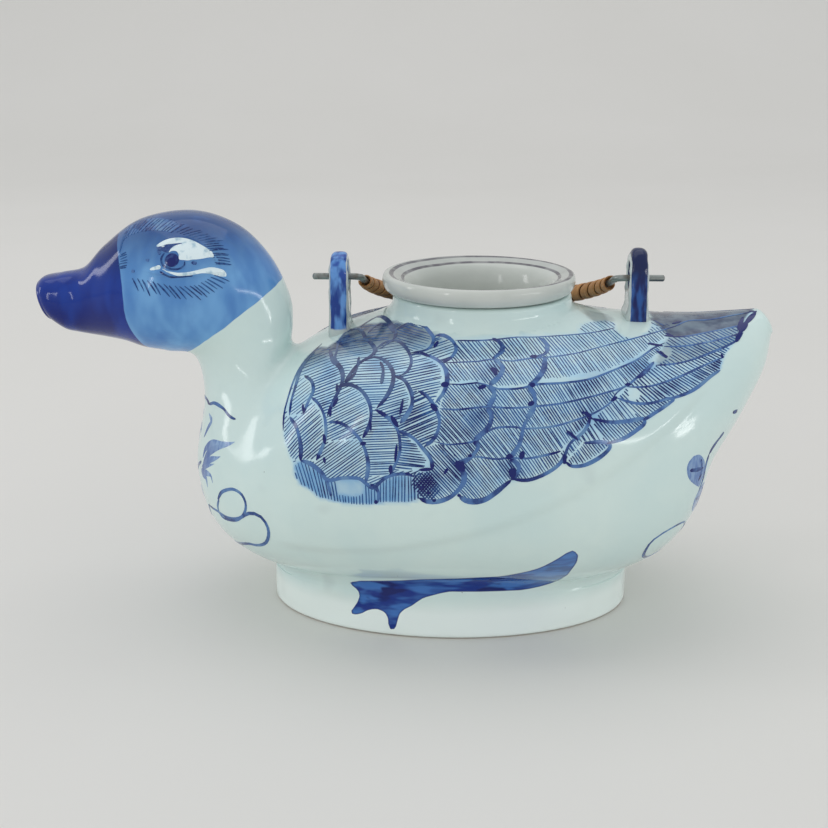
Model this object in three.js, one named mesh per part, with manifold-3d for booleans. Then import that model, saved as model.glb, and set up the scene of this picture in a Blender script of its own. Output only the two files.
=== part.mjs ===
// A porcelain teapot in the shape of a sitting duck: a cast shell that pours through its beak,
// an oval foot ring, a collar round the filling mouth, two pierced lugs, a lift-out infuser cup,
// and a wire bail wound with cane that swings in the lugs.
// Units are millimetres. +X runs towards the tail, -X towards the beak, and +Z is up.
// The origin is on the table, halfway between the beak's tip and the tail's tip.
import * as THREE from "three";
import { mergeVertices } from "three/addons/utils/BufferGeometryUtils.js";
import Module from "manifold-3d";

const wasm = await Module();
wasm.setup();

// Shell.
const shellWall = 3.2; // thickness of the cast porcelain
const seatGap = 0.3; // glaze line between pieces that rest on each other
const footHeight = 10; // lowest point of the belly above the table

// Stations of the duck from the tail's tip to the beak's tip. Each is one oval section:
// back = [x, height] on the back line, belly = [x, height] on the belly line,
// half = half its width, square = how boxy its upper part is (2 is an ellipse).
const stations = [
  { back: [119.4, 103.8], belly: [123.8, 96.8], half: 6.6, square: 2 },
  { back: [110, 102.8], belly: [121.4, 84], half: 15.5, square: 2 },
  { back: [98, 101.8], belly: [113.2, 66], half: 26, square: 2 },
  { back: [84, 101.4], belly: [102.8, 41], half: 38.5, square: 2.2 },
  { back: [68, 101.4], belly: [87.5, 21], half: 48.5, square: 2.6 },
  { back: [48, 101.6], belly: [60, footHeight + 1.2], half: 55.5, square: 3.1 },
  { back: [22, 101.2], belly: [24, footHeight], half: 58, square: 3.4 },
  { back: [-2, 99.6], belly: [-10, footHeight + 0.8], half: 57, square: 3.4 },
  { back: [-20, 96.4], belly: [-35, footHeight + 3.2], half: 52, square: 3.1 },
  { back: [-31, 92.8], belly: [-54, 19.6], half: 44, square: 2.6 },
  { back: [-36.8, 90.8], belly: [-66.6, 31], half: 34.5, square: 2.2 },
  { back: [-39.4, 92.8], belly: [-72, 50], half: 26, square: 2 },
  { back: [-39.2, 98.6], belly: [-70.2, 71.5], half: 19, square: 2 },
  { back: [-40, 107.2], belly: [-73.4, 85.4], half: 17.6, square: 2 },
  { back: [-45.4, 120.2], belly: [-81, 89.2], half: 20.6, square: 2.1 },
  { back: [-55.4, 131], belly: [-88, 90.2], half: 22.8, square: 2.15 },
  { back: [-70, 136], belly: [-94, 91.2], half: 21.8, square: 2.15 },
  { back: [-86, 132.2], belly: [-100.5, 92], half: 17.4, square: 2.15 },
  { back: [-98, 122.8], belly: [-106.5, 92.6], half: 12.8, square: 2.2 },
  { back: [-107.5, 117], belly: [-110.5, 93.2], half: 10.8, square: 2.3 },
  { back: [-115.5, 115], belly: [-114.2, 94], half: 10.4, square: 2.4 },
  { back: [-121.4, 113.8], belly: [-117.2, 95.6], half: 9.6, square: 2.4 },
  { back: [-123.8, 111.4], belly: [-119.6, 98.6], half: 7.4, square: 2.2 },
];
const underSquare = 2.05; // how boxy the sections are below their middle
const ringsPerStation = 3; // sections drawn between two stations of the outer skin
const skinSides = 36; // sides of each outer section
const cavitySides = 24; // sides of each inner section

// Wings, raised in low relief on both flanks.
const wingRise = 1.6; // how far the wing stands out of the flank
const wingFront = -37; // where the wing begins behind the neck
const wingTail = 112; // where its last feathers end
const wingEdge = 5; // width of the slope round its edge

// Spout in the beak.
const spoutWidth = 11; // the pouring hole, across
const spoutHeight = 7.4; // the pouring hole, up and down

// Collar round the filling mouth.
const mouthX = 26.6; // its axis, along the back
const mouthBore = 26; // radius of the hole
const collarRise = 8.2; // lip above the back
const collarLip = 30; // outer radius of the lip
const collarFlare = 35.5; // outer radius where it spreads on to the back
const lipRound = 1.5; // rounding of the lip's outer edge

// Infuser cup.
const cupClearance = 1.7; // between the cup's wall and the collar's bore
const cupOffset = -1.2; // how far off the collar's axis the cup sits
const cupWall = 2.4;
const cupDepth = 36; // below the lip
const rimRadius = 32.3; // outer radius of the rolled rim
const rimThickness = 6.2;
const rimDish = 1.2; // how far the rim's top falls towards the inside
const drainHole = 1.3; // radius of each hole in the cup's floor
const drainPitch = 6.2; // distance between two rings of holes
const drainRings = 2;

// Foot ring.
const footX = 16.5;
const footLong = 62.2; // half its length
const footWide = 39.8; // half its width
const footWall = 6.5;
const footFlare = 3; // how far its foot spreads past its top, at the flanks

// Lugs.
const frontLugX = -21.3;
const rearLugX = 78.3;
const lugThick = 6.4; // along the duck
const lugTopRadius = 6.8; // outer radius of the arch over the hole
const lugBase = 10.5; // half the width where it stands on the back
const lugRise = 26.6; // top of the arch above the back at the front lug
const holeWidth = 6;
const holeHeight = 6.4;
const lugStrap = 3.4; // porcelain over the front lug's hole
const rearStrap = 5.2; // porcelain over the rear lug's hole

// Bail.
const wireRadius = 1.1;
const wireTail = 6; // wire standing out beyond each lug
const wireInside = 4.2; // straight wire inside each lug before it turns
const bailRise = 57; // from the pivot to the crown of the arch
const bendRadius = 3.4; // bend between the tail and the arch
const caneLoops = 24;
const caneWidth = 4.6;
const caneThick = 0.8;
const caneStart = 0.045; // share of the arch left bare at each end
const gripSwell = 1.15; // extra radius of the grip at the crown
const coreWall = 0.6; // thinnest wall of the padding under the cane

const porcelain = new THREE.MeshStandardMaterial({ color: 0xd3dcd6, roughness: 0.12, metalness: 0 });
const cobalt = new THREE.MeshStandardMaterial({ color: 0x2b4a9c, roughness: 0.15, metalness: 0 });
const iron = new THREE.MeshStandardMaterial({ color: 0x7d8783, roughness: 0.4, metalness: 0.9 });
const cane = new THREE.MeshStandardMaterial({ color: 0xa06a35, roughness: 0.55, metalness: 0 });

// Turns a closed geometry into a solid for cutting and joining.
function solid(geometry) {
  const bare = geometry.clone();
  bare.deleteAttribute("normal");
  bare.deleteAttribute("uv");
  const merged = mergeVertices(bare, 1e-4);
  const mesh = new wasm.Mesh({
    numProp: 3,
    vertProperties: new Float32Array(merged.attributes.position.array),
    triVerts: new Uint32Array(merged.index.array),
  });
  return new wasm.Manifold(mesh);
}

// Turns a solid back into a geometry with flat-shaded normals.
function geometryOf(made) {
  const mesh = made.getMesh();
  const geometry = new THREE.BufferGeometry();
  geometry.setAttribute("position", new THREE.BufferAttribute(mesh.vertProperties, 3));
  geometry.setIndex(new THREE.BufferAttribute(mesh.triVerts, 1));
  geometry.computeVertexNormals();
  return geometry;
}

function named(name, made, material) {
  const geometry = made.isBufferGeometry ? made : geometryOf(made);
  const mesh = new THREE.Mesh(geometry, material);
  mesh.name = name;
  return mesh;
}

// Skins a row of rings, each a closed loop of as many points, and closes both ends with a fan.
// Faces look outwards whichever way the rings are given.
function skin(rings) {
  const made = skinned(rings);
  if (volumeOf(made) > 0) return made;
  return skinned(rings.map((ring) => ring.slice().reverse()));
}

function volumeOf(geometry) {
  const place = geometry.attributes.position;
  const corner = (k) => new THREE.Vector3().fromBufferAttribute(place, geometry.index.getX(k));
  let volume = 0;
  for (let i = 0; i < geometry.index.count; i += 3) {
    volume += corner(i).dot(corner(i + 1).cross(corner(i + 2))) / 6;
  }
  return volume;
}

function skinned(rings) {
  const sides = rings[0].length;
  const points = rings.flat();
  const faces = [];
  for (let r = 0; r + 1 < rings.length; r += 1) {
    for (let s = 0; s < sides; s += 1) {
      const a = r * sides + s;
      const b = r * sides + ((s + 1) % sides);
      faces.push(a, b, a + sides, b, b + sides, a + sides);
    }
  }
  for (const [ring, first, turn] of [[rings[0], 0, 1], [rings.at(-1), points.length - sides, -1]]) {
    const hub = points.length;
    const middle = new THREE.Vector3();
    ring.forEach((p) => middle.add(p));
    points.push(middle.divideScalar(sides));
    for (let s = 0; s < sides; s += 1) {
      const a = first + s;
      const b = first + ((s + 1) % sides);
      if (turn > 0) faces.push(hub, b, a);
      else faces.push(hub, a, b);
    }
  }
  const geometry = new THREE.BufferGeometry().setFromPoints(points);
  geometry.setIndex(faces);
  return geometry;
}

// Smooth curves through the stations.
const through = (read) => {
  const points = stations.map(read);
  return new THREE.CatmullRomCurve3(points, false, "catmullrom", 0.5);
};
const backLine = through((s) => new THREE.Vector3(s.back[0], 0, s.back[1]));
const bellyLine = through((s) => new THREE.Vector3(s.belly[0], 0, s.belly[1]));
const widths = through((s) => new THREE.Vector3(s.half, s.square, 0));

const smooth = (low, high, value) => THREE.MathUtils.smoothstep(value, low, high);

// Height of the wing's lower edge along the flank: low under the shoulder, rising to the tail.
function wingHem(x) {
  const along = THREE.MathUtils.clamp((x - wingFront) / (wingTail - wingFront), 0, 1);
  return 35 + 62 * along ** 2.1;
}

// How far the skin stands out at a point of the flank: full on the wing, nothing off it.
function wingRelief(point) {
  const behind = smooth(wingFront - wingEdge, wingFront + wingEdge, point.x);
  const before = 1 - smooth(wingTail - 2 * wingEdge, wingTail, point.x);
  const above = smooth(wingHem(point.x) - wingEdge / 2, wingHem(point.x) + wingEdge / 2, point.z);
  const flank = smooth(24, 38, Math.abs(point.y));
  return wingRise * behind * before * above * flank;
}

// One oval section of the duck at t, from 0 at the tail to 1 at the beak, grown by `grow`.
function section(t, sides, grow, relief) {
  const back = backLine.getPoint(t);
  const belly = bellyLine.getPoint(t);
  const width = widths.getPoint(t);
  const middle = back.clone().add(belly).multiplyScalar(0.5);
  const rise = back.clone().sub(middle);
  const reach = rise.length();
  rise.normalize();
  const ring = [];
  for (let i = 0; i < sides; i += 1) {
    const turn = (i / sides) * Math.PI * 2;
    const power = 2 / (Math.sin(turn) < 0 ? Math.min(width.y, underSquare) : width.y);
    const up = Math.sign(Math.sin(turn)) * Math.abs(Math.sin(turn)) ** power;
    const side = Math.sign(Math.cos(turn)) * Math.abs(Math.cos(turn)) ** power;
    const point = middle.clone().addScaledVector(rise, up * (reach + grow));
    point.y = side * (width.x + grow);
    if (relief) point.y += Math.sign(point.y) * wingRelief(point);
    ring.push(point);
  }
  return ring;
}

// The duck's skin between two stations of its curve.
function duck(from, to, steps, sides, grow, relief) {
  const rings = [];
  for (let i = 0; i <= steps; i += 1) {
    rings.push(section(from + ((to - from) * i) / steps, sides, grow, relief));
  }
  return solid(skin(rings));
}

const spans = stations.length - 1;
const outerSteps = spans * ringsPerStation;
const outer = duck(0, 1, outerSteps, skinSides, 0, true);
const seat = duck(0, 1, outerSteps, skinSides, seatGap, true);

// Height of the back line over a place along the duck, between the tail and the neck.
function backHeight(x) {
  for (let i = 0; i < 400; i += 1) {
    const here = backLine.getPoint(i / 800);
    if (here.x <= x) return here.z;
  }
  return 0;
}

// Places a geometry made about the Z axis over a point of the back.
function over(geometry, x, z) {
  return solid(geometry).translate([x, 0, z]);
}

// A round piece from its profile of [radius, height] pairs.
function turned(profile, segments) {
  const points = profile.map(([r, h]) => new THREE.Vector2(r, h));
  const geometry = new THREE.LatheGeometry(points, segments);
  geometry.rotateX(Math.PI / 2);
  return geometry;
}

function bodyShell() {
  const cavityFrom = 1.7 / spans;
  const cavityTo = (spans - 3.6) / spans;
  const cavity = duck(cavityFrom, cavityTo, 32, cavitySides, -shellWall, false);
  const beak = [];
  const inside = backLine.getPoint(cavityTo - 0.04).add(bellyLine.getPoint(cavityTo - 0.04));
  const tip = backLine.getPoint(1).add(bellyLine.getPoint(1));
  inside.multiplyScalar(0.5);
  tip.multiplyScalar(0.5);
  inside.z = tip.z;
  const out = tip.clone().sub(inside).normalize();
  const sideways = new THREE.Vector3(0, 1, 0);
  const upwards = sideways.clone().cross(out).negate();
  for (const end of [inside, tip.clone().addScaledVector(out, 5)]) {
    const ring = [];
    for (let i = 0; i < 20; i += 1) {
      const turn = (i / 20) * Math.PI * 2;
      const point = end.clone();
      point.addScaledVector(upwards, (Math.sin(turn) * spoutHeight) / 2);
      point.addScaledVector(sideways, (Math.cos(turn) * spoutWidth) / 2);
      ring.push(point);
    }
    beak.push(ring);
  }
  const spout = solid(skin(beak));
  const mouthHeight = 40;
  const hole = new THREE.CylinderGeometry(mouthBore, mouthBore, mouthHeight, 48).rotateX(Math.PI / 2);
  const mouth = over(hole, mouthX, backHeight(mouthX));
  return named("body_shell", outer.subtract(cavity).subtract(spout).subtract(mouth), porcelain);
}

function mouthCollar() {
  const lip = backHeight(mouthX) + collarRise;
  const deep = -collarRise - 10;
  const profile = [
    [mouthBore, deep],
    [collarFlare, deep],
    [collarFlare, -collarRise - 2.4],
    [(collarLip + collarFlare) / 2, -collarRise * 0.9],
    [collarLip + 1, -collarRise * 0.6],
    [collarLip, -lipRound],
    [collarLip - lipRound * 0.3, -lipRound * 0.3],
    [collarLip - lipRound, 0],
    [mouthBore + 1, 0],
    [mouthBore, -1],
    [mouthBore, deep],
  ];
  const ring = over(turned(profile, 56), mouthX, lip);
  return named("mouth_collar", ring.subtract(seat), porcelain);
}

function infuserCup() {
  const outside = mouthBore - cupClearance;
  const inside = outside - cupWall;
  const curve = 5;
  const profile = [
    [0, -cupDepth],
    [outside - curve - 2, -cupDepth],
    [outside - 3, -cupDepth + 1.6],
    [outside - 1.2, -cupDepth + curve],
    [outside, -cupDepth + 2 * curve],
    [outside, 0],
    [rimRadius - 3, 0],
    [rimRadius - 1.4, rimThickness * 0.16],
    [rimRadius - 0.4, rimThickness * 0.4],
    [rimRadius, rimThickness * 0.66],
    [rimRadius - 0.3, rimThickness * 0.87],
    [rimRadius - 1.3, rimThickness],
    [rimRadius - 5, rimThickness - rimDish],
    [inside + 2.4, rimThickness - rimDish - 1.4],
    [inside + 0.8, rimThickness - rimDish - 4],
    [inside + 0.2, -1],
    [inside, -cupDepth + 2 * curve],
    [inside - 1.4, -cupDepth + curve],
    [inside - 4.5, -cupDepth + cupWall + 0.6],
    [0, -cupDepth + cupWall],
  ];
  const lip = backHeight(mouthX) + collarRise;
  let cup = solid(turned(profile, 56));
  const drill = new THREE.CylinderGeometry(drainHole, drainHole, 4 * cupWall, 6).rotateX(Math.PI / 2);
  for (let ring = 0; ring <= drainRings; ring += 1) {
    const count = Math.max(1, ring * 6);
    for (let i = 0; i < count; i += 1) {
      const turn = (i / count) * Math.PI * 2;
      const place = [Math.cos(turn) * ring * drainPitch, Math.sin(turn) * ring * drainPitch, -cupDepth];
      cup = cup.subtract(solid(drill).translate(place));
    }
  }
  return named("infuser_cup", cup.translate([mouthX + cupOffset, 0, lip + seatGap]), porcelain);
}

function footRing() {
  const tall = 30;
  const rings = [];
  const levels = [[0, 0], [1.2, 0.9], [9, 0.35], [tall, 0.2]];
  for (const [height, spread] of levels) {
    const ring = [];
    const tucked = height === 0 ? 1.2 : 0;
    for (let i = 0; i < 64; i += 1) {
      const turn = (i / 64) * Math.PI * 2;
      const wide = footWide - footFlare * (1 - spread) - tucked;
      ring.push(new THREE.Vector3(Math.cos(turn) * (footLong - tucked), Math.sin(turn) * wide, height));
    }
    rings.push(ring);
  }
  const outside = solid(skin(rings));
  const recess = new THREE.CylinderGeometry(1, 1, 3 * tall, 48).rotateX(Math.PI / 2);
  recess.scale(footLong - footWall, footWide - footWall - footFlare, 1);
  const ring = outside.subtract(solid(recess)).translate([footX, 0, 0]);
  return named("foot_ring", ring.subtract(seat), porcelain);
}

// Height of the arch's centre, the hole's lowest edge and the wire's axis in a lug.
const pivotHeight = (() => {
  const top = backHeight(frontLugX) + lugRise;
  return top - lugStrap - holeHeight + seatGap + wireRadius;
})();

function lug(name, x, strap) {
  const holeTop = pivotHeight - seatGap - wireRadius + holeHeight;
  const crown = holeTop + strap;
  const low = backHeight(x) - 8;
  const shape = new THREE.Shape();
  shape.moveTo(-lugBase, low);
  shape.lineTo(lugBase, low);
  shape.lineTo(lugTopRadius, crown - lugTopRadius);
  shape.absarc(0, crown - lugTopRadius, lugTopRadius, 0, Math.PI, false);
  shape.lineTo(-lugBase, low);
  const hole = new THREE.Path();
  const round = holeWidth / 2;
  hole.absarc(0, holeTop - round, round, 0, Math.PI, false);
  hole.absarc(0, holeTop - holeHeight + round, round, Math.PI, Math.PI * 2, false);
  shape.holes.push(hole);
  const edge = 1.2;
  const slab = new THREE.ExtrudeGeometry(shape, {
    depth: lugThick - 2 * edge,
    bevelEnabled: true,
    bevelSize: edge,
    bevelThickness: edge,
    bevelOffset: -edge,
    bevelSegments: 2,
    curveSegments: 6,
  });
  slab.translate(0, 0, edge - lugThick / 2);
  slab.rotateX(Math.PI / 2);
  slab.rotateZ(Math.PI / 2);
  return named(name, solid(slab).translate([x, 0, 0]).subtract(seat), cobalt);
}

// The bail's centre line in its own plane, from one tail to the other: u along the duck, v outwards.
const pivotX = (frontLugX + rearLugX) / 2;
const shoulder = (rearLugX - frontLugX) / 2 - lugThick / 2 - wireInside;

class BailLine extends THREE.Curve {
  constructor() {
    super();
    const tail = (rearLugX - frontLugX) / 2 + lugThick / 2 + wireTail;
    const half = [[tail, 0]];
    const straight = 4;
    for (let i = 1; i <= straight; i += 1) {
      half.push([tail + ((shoulder + bendRadius - tail) * i) / straight, 0]);
    }
    for (let i = 1; i <= 5; i += 1) {
      const turn = (i / 5) * (Math.PI / 2);
      const u = shoulder + bendRadius - bendRadius * Math.sin(turn);
      half.push([u, bendRadius * (1 - Math.cos(turn))]);
    }
    const arch = 14;
    for (let i = 1; i <= arch; i += 1) {
      const turn = (i / arch) * (Math.PI / 2);
      half.push([shoulder * Math.cos(turn), bendRadius + (bailRise - bendRadius) * Math.sin(turn)]);
    }
    const other = half.slice(0, -1).reverse().map(([u, v]) => [-u, v]);
    const points = [...half, ...other].map(([u, v]) => new THREE.Vector3(u, v, 0));
    this.inner = new THREE.CatmullRomCurve3(points, false, "centripetal");
    this.inner.arcLengthDivisions = 800;
    this.hang(0);
  }

  // Turns the bail down by an angle from level.
  hang(angle) {
    this.droop = new THREE.Matrix4().makeRotationX(-angle);
    this.droop.setPosition(pivotX, 0, pivotHeight);
  }

  getPoint(t, target = new THREE.Vector3()) {
    return target.copy(this.inner.getPointAt(t)).applyMatrix4(this.droop);
  }
}
const bailLine = new BailLine();
const bailLength = bailLine.inner.getLength();
const archFrom = (wireTail + lugThick + wireInside) / bailLength;

// The angle below level at which the bail's grip comes down on the far shoulder.
function restAngle() {
  let clear = 0;
  let touching = THREE.MathUtils.degToRad(60);
  for (let i = 0; i < 12; i += 1) {
    const angle = (clear + touching) / 2;
    bailLine.hang(angle);
    if (envelope().minGap(outer, 5) > seatGap) clear = angle;
    else touching = angle;
  }
  return clear;
}

// The bail's outside between the lugs, as one plain tube.
function envelope() {
  const rings = [];
  const steps = 48;
  for (let i = 0; i <= steps; i += 1) {
    const share = i / steps;
    const t = caneFrom + (caneTo - caneFrom) * share;
    const ring = [];
    const radius = (caneRadius(share) + caneThick / 2) / Math.cos(Math.PI / 16);
    for (let s = 0; s < 16; s += 1) ring.push(around(t, radius, (s / 16) * Math.PI * 2));
    rings.push(ring);
  }
  return solid(skin(rings));
}

function bailWire() {
  const round = new THREE.Shape().absarc(0, 0, wireRadius, 0, Math.PI * 2, false);
  const tube = new THREE.ExtrudeGeometry(round, { steps: 64, curveSegments: 4, extrudePath: bailLine });
  return named("bail_wire", solid(tube), iron);
}

// Where the cane lies: a share along the bail, and the radius of its middle there.
const caneFrom = archFrom + caneStart;
const caneTo = 1 - caneFrom;
const caneRadius = (share) => {
  const bare = wireRadius + seatGap + caneThick / 2;
  return bare + gripSwell * Math.sin(share * Math.PI) ** 0.6;
};

// Frames along the bail: its bend lies in one plane, whose normal never turns.
function around(t, radius, turn) {
  const bailNormal = new THREE.Vector3(0, 0, 1).transformDirection(bailLine.droop);
  const point = bailLine.getPoint(t);
  const ahead = bailLine.getTangent(t);
  const inwards = bailNormal.clone().cross(ahead).normalize();
  point.addScaledVector(inwards, Math.cos(turn) * radius);
  return point.addScaledVector(bailNormal, Math.sin(turn) * radius);
}

// The cane is one flat strip wound round the bail, a screw line of caneLoops turns.
function caneWinding() {
  const stepsPerLoop = 14;
  const steps = caneLoops * stepsPerLoop;
  const rings = [];
  for (let i = 0; i <= steps; i += 1) {
    const share = i / steps;
    const turn = share * caneLoops * Math.PI * 2;
    const t = caneFrom + (caneTo - caneFrom) * share;
    const half = caneWidth / 2 / bailLength;
    const low = caneRadius(share) - caneThick / 2;
    const high = caneRadius(share) + caneThick / 2;
    const at = (along, radius) => around(t + along * half, radius, turn);
    rings.push([at(-1, low), at(1, low), at(1, high - 0.25), at(0, high), at(-1, high - 0.25)]);
  }
  return named("cane_winding", solid(skin(rings)), cane);
}

// The least gap between neighbouring turns of the cane, measured on points along its two edges.
function caneGap() {
  const half = caneWidth / 2 / bailLength;
  const samples = 400;
  const loop = (caneTo - caneFrom) / caneLoops;
  let least = Infinity;
  for (let i = 0; i < samples; i += 1) {
    const share = (i / samples) * (1 - 1 / caneLoops);
    const turn = share * caneLoops * Math.PI * 2;
    const t = caneFrom + (caneTo - caneFrom) * share;
    const here = around(t + half, caneRadius(share) - caneThick / 2, turn);
    const next = around(t + loop - half, caneRadius(share) - caneThick / 2, turn);
    least = Math.min(least, here.distanceTo(next));
  }
  return least;
}

// Padding between the wire and the cane, along the part of the grip that is thick enough for it.
function gripCore() {
  const outerAt = (share) => caneRadius(share) - caneThick / 2 - seatGap;
  const rings = [];
  const steps = 32;
  const bore = wireRadius + seatGap;
  let first = 0;
  while (outerAt(first) < bore + coreWall) first += 0.005;
  for (let i = 0; i <= steps; i += 1) {
    const share = first + ((1 - 2 * first) * i) / steps;
    const t = caneFrom + (caneTo - caneFrom) * share;
    const ring = [];
    for (let s = 0; s < 12; s += 1) ring.push(around(t, outerAt(share), (s / 12) * Math.PI * 2));
    rings.push(ring);
  }
  const core = solid(skin(rings));
  const round = new THREE.Shape().absarc(0, 0, bore, 0, Math.PI * 2, false);
  const passage = new THREE.ExtrudeGeometry(round, { steps: 64, curveSegments: 4, extrudePath: bailLine });
  return named("grip_core", core.subtract(solid(passage)), cane);
}

const bailDroop = restAngle();
bailLine.hang(bailDroop);

const pot = new THREE.Group();
pot.add(bodyShell(), mouthCollar(), footRing());
pot.add(lug("front_lug", frontLugX, lugStrap), lug("rear_lug", rearLugX, rearStrap));

const bail = new THREE.Group();
bail.add(bailWire(), gripCore(), caneWinding());

const teapot = new THREE.Group();
teapot.add(pot, infuserCup(), bail);

console.log(`least gap between turns of the cane: ${caneGap().toFixed(2)} mm`);
console.log(`pivot at x ${pivotX.toFixed(2)}, height ${pivotHeight.toFixed(2)}`);
console.log(`bail rests ${THREE.MathUtils.radToDeg(bailDroop).toFixed(2)} degrees below level`);
console.log(`collar lip at height ${(backHeight(mouthX) + collarRise).toFixed(2)}`);

export default teapot;
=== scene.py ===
"""A porcelain teapot in the shape of a sitting duck, painted in cobalt, with a cane-wound bail.

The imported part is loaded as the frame. Finer surfaces then stand for its solids, and the
painting is laid on the duck's skin. Lengths in this file are millimetres until a mesh is made.
"""

import bpy
import numpy as np
from mathutils import Matrix


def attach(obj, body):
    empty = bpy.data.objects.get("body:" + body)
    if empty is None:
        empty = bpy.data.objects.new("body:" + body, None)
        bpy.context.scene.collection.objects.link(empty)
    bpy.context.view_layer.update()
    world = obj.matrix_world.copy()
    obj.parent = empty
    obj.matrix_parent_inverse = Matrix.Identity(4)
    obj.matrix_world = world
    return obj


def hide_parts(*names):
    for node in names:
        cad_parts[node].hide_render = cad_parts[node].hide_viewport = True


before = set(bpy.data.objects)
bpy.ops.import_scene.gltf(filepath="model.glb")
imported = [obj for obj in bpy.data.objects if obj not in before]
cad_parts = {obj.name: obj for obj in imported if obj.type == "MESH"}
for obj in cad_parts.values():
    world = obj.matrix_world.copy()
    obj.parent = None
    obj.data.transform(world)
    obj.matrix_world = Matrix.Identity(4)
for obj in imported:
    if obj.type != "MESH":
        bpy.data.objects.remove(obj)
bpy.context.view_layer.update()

MM = 0.001

# The duck's own dimensions.

# Sections from the tail's tip to the beak's tip:
# back x, back height, belly x, belly height, half width, boxiness above the middle.
SECTIONS = np.array([
    (119.4, 103.8, 123.8, 96.8, 6.6, 2.0),
    (110, 102.8, 121.4, 84, 15.5, 2.0),
    (98, 101.8, 113.2, 66, 26, 2.0),
    (84, 101.4, 102.8, 41, 38.5, 2.2),
    (68, 101.4, 87.5, 21, 48.5, 2.6),
    (48, 101.6, 60, 11.2, 55.5, 3.1),
    (22, 101.2, 24, 10, 58, 3.4),
    (-2, 99.6, -10, 10.8, 57, 3.4),
    (-20, 96.4, -35, 13.2, 52, 3.1),
    (-31, 91.6, -54, 19.6, 44, 2.6),
    (-36.2, 89.4, -66.6, 31, 34.5, 2.2),
    (-38.2, 91.6, -71.6, 50, 26, 2.0),
    (-37.6, 98.4, -68.4, 72.4, 19, 2.0),
    (-38.4, 107.4, -71, 86.8, 17.6, 2.0),
    (-44.6, 120.4, -80.2, 88.9, 20.6, 2.1),
    (-55.2, 131, -87.8, 90.2, 22.8, 2.15),
    (-70.2, 136, -94, 92.2, 21.8, 2.15),
    (-87.4, 133.4, -100.5, 93.3, 17.4, 2.15),
    (-99.6, 125, -106.5, 94.1, 12.8, 2.2),
    (-107.5, 117.1, -110.5, 94.8, 10.8, 2.3),
    (-115.5, 115, -114, 95.6, 10.4, 2.4),
    (-121.4, 113.8, -117.3, 97.8, 9.6, 2.4),
    (-123.8, 111.4, -119.8, 100, 7.4, 2.2),
], float)
LAST = len(SECTIONS) - 1
UNDER_BOXINESS = 2.05
SHELL_WALL, SEAT_GAP = 3.2, 0.3
# How far the skin is drawn in between the tail and the rump, where along s, and over how much.
RUMP_HOLLOW, HOLLOW_PLACE, HOLLOW_SPREAD = 4.5, 2.62, 0.42
WING_RISE, WING_EDGE = 1.6, 5.0
WING_FRONT, WING_TAIL = -37.0, 112.0
# Height of the wing's lower edge at its front, and how much higher it is at the tail.
HEM_LOW, HEM_RISE = 35.0, 62.0
EYE_X, EYE_HEIGHT, EYE_LONG, EYE_TALL = -69.5, 123.0, 11.5, 6.4
NEAR, FAR = -1.0, 1.0
FLANKS = ((NEAR, "near"), (FAR, "far"))
# On the far flank the painting starts this many degrees farther down from the back line, and
# this is how quickly that fades out down the flank.
FAR_DROP, FAR_FADE = 14.0, 16.0

MOUTH_X, MOUTH_BORE = 26.6, 26.0
COLLAR_LIP, LIP_HEIGHT = 30.0, 109.55
# How far the collar's foot spreads on the back at its sides, and how much more along the back.
FOOT_SPREAD, FOOT_SPREAD_ALONG = 9, 11
SPOUT_HEIGHT, SPOUT_HALF_WIDE, SPOUT_HALF_TALL = 105, 5.5, 3.7
CUP_X, CUP_DEPTH, CUP_WALL_OUT, CUP_WALL_IN = 25.4, 36.0, 24.3, 21.9
DRAIN_RINGS, DRAIN_PITCH, DRAIN_RADIUS = 2, 6.2, 1.3
FOOT_X, FOOT_LONG, FOOT_WIDE = 16.5, 62.2, 39.8
FRONT_LUG_X, REAR_LUG_X = -21.3, 78.3
FRONT_STRAP, REAR_STRAP = 3.4, 5.2
LUG_THICK, LUG_HALF_WIDE = 6.4, 6.8
LUG_HOLE_TALL, LUG_HOLE_HALF_WIDE = 6.4, 3.0
PIVOT_X, PIVOT_HEIGHT = 28.5, 114.2
BAIL_DROOP = np.radians(19.42)
BAIL_RISE, BEND_RADIUS, SHOULDER = 57.0, 3.4, 42.4
WIRE_RADIUS = 1.1
WIRE_TAIL = 59.0
CANE_LOOPS, CANE_WIDTH, CANE_THICK = 24, 4.6, 0.8
CANE_START, GRIP_SWELL = 0.045, 1.15


def smooth(low, high, value):
    """0 below low, 1 above high, and an S-shaped rise (3k^2 - 2k^3) between them."""
    k = np.clip((value - low) / (high - low), 0.0, 1.0)
    return k * k * (3.0 - 2.0 * k)


def curve_through(rows, s):
    """Smooth curve through rows of numbers: between two rows, a cubic whose slope at each row
    is half the difference of its neighbours. The ends are carried on in a straight line."""
    rows = np.asarray(rows, float)
    s = np.clip(np.asarray(s, float), 0, len(rows) - 1)
    at = np.minimum(s.astype(int), len(rows) - 2)
    f = (s - at)[..., None]
    row = np.vstack([2 * rows[0] - rows[1], rows, 2 * rows[-1] - rows[-2]])
    a, b, c, d = row[at], row[at + 1], row[at + 2], row[at + 3]
    leave, arrive = 0.5 * (c - a), 0.5 * (d - b)
    cubic = (2 * b - 2 * c + leave + arrive) * f**3
    return cubic + (3 * c - 3 * b - 2 * leave - arrive) * f**2 + leave * f + b


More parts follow.
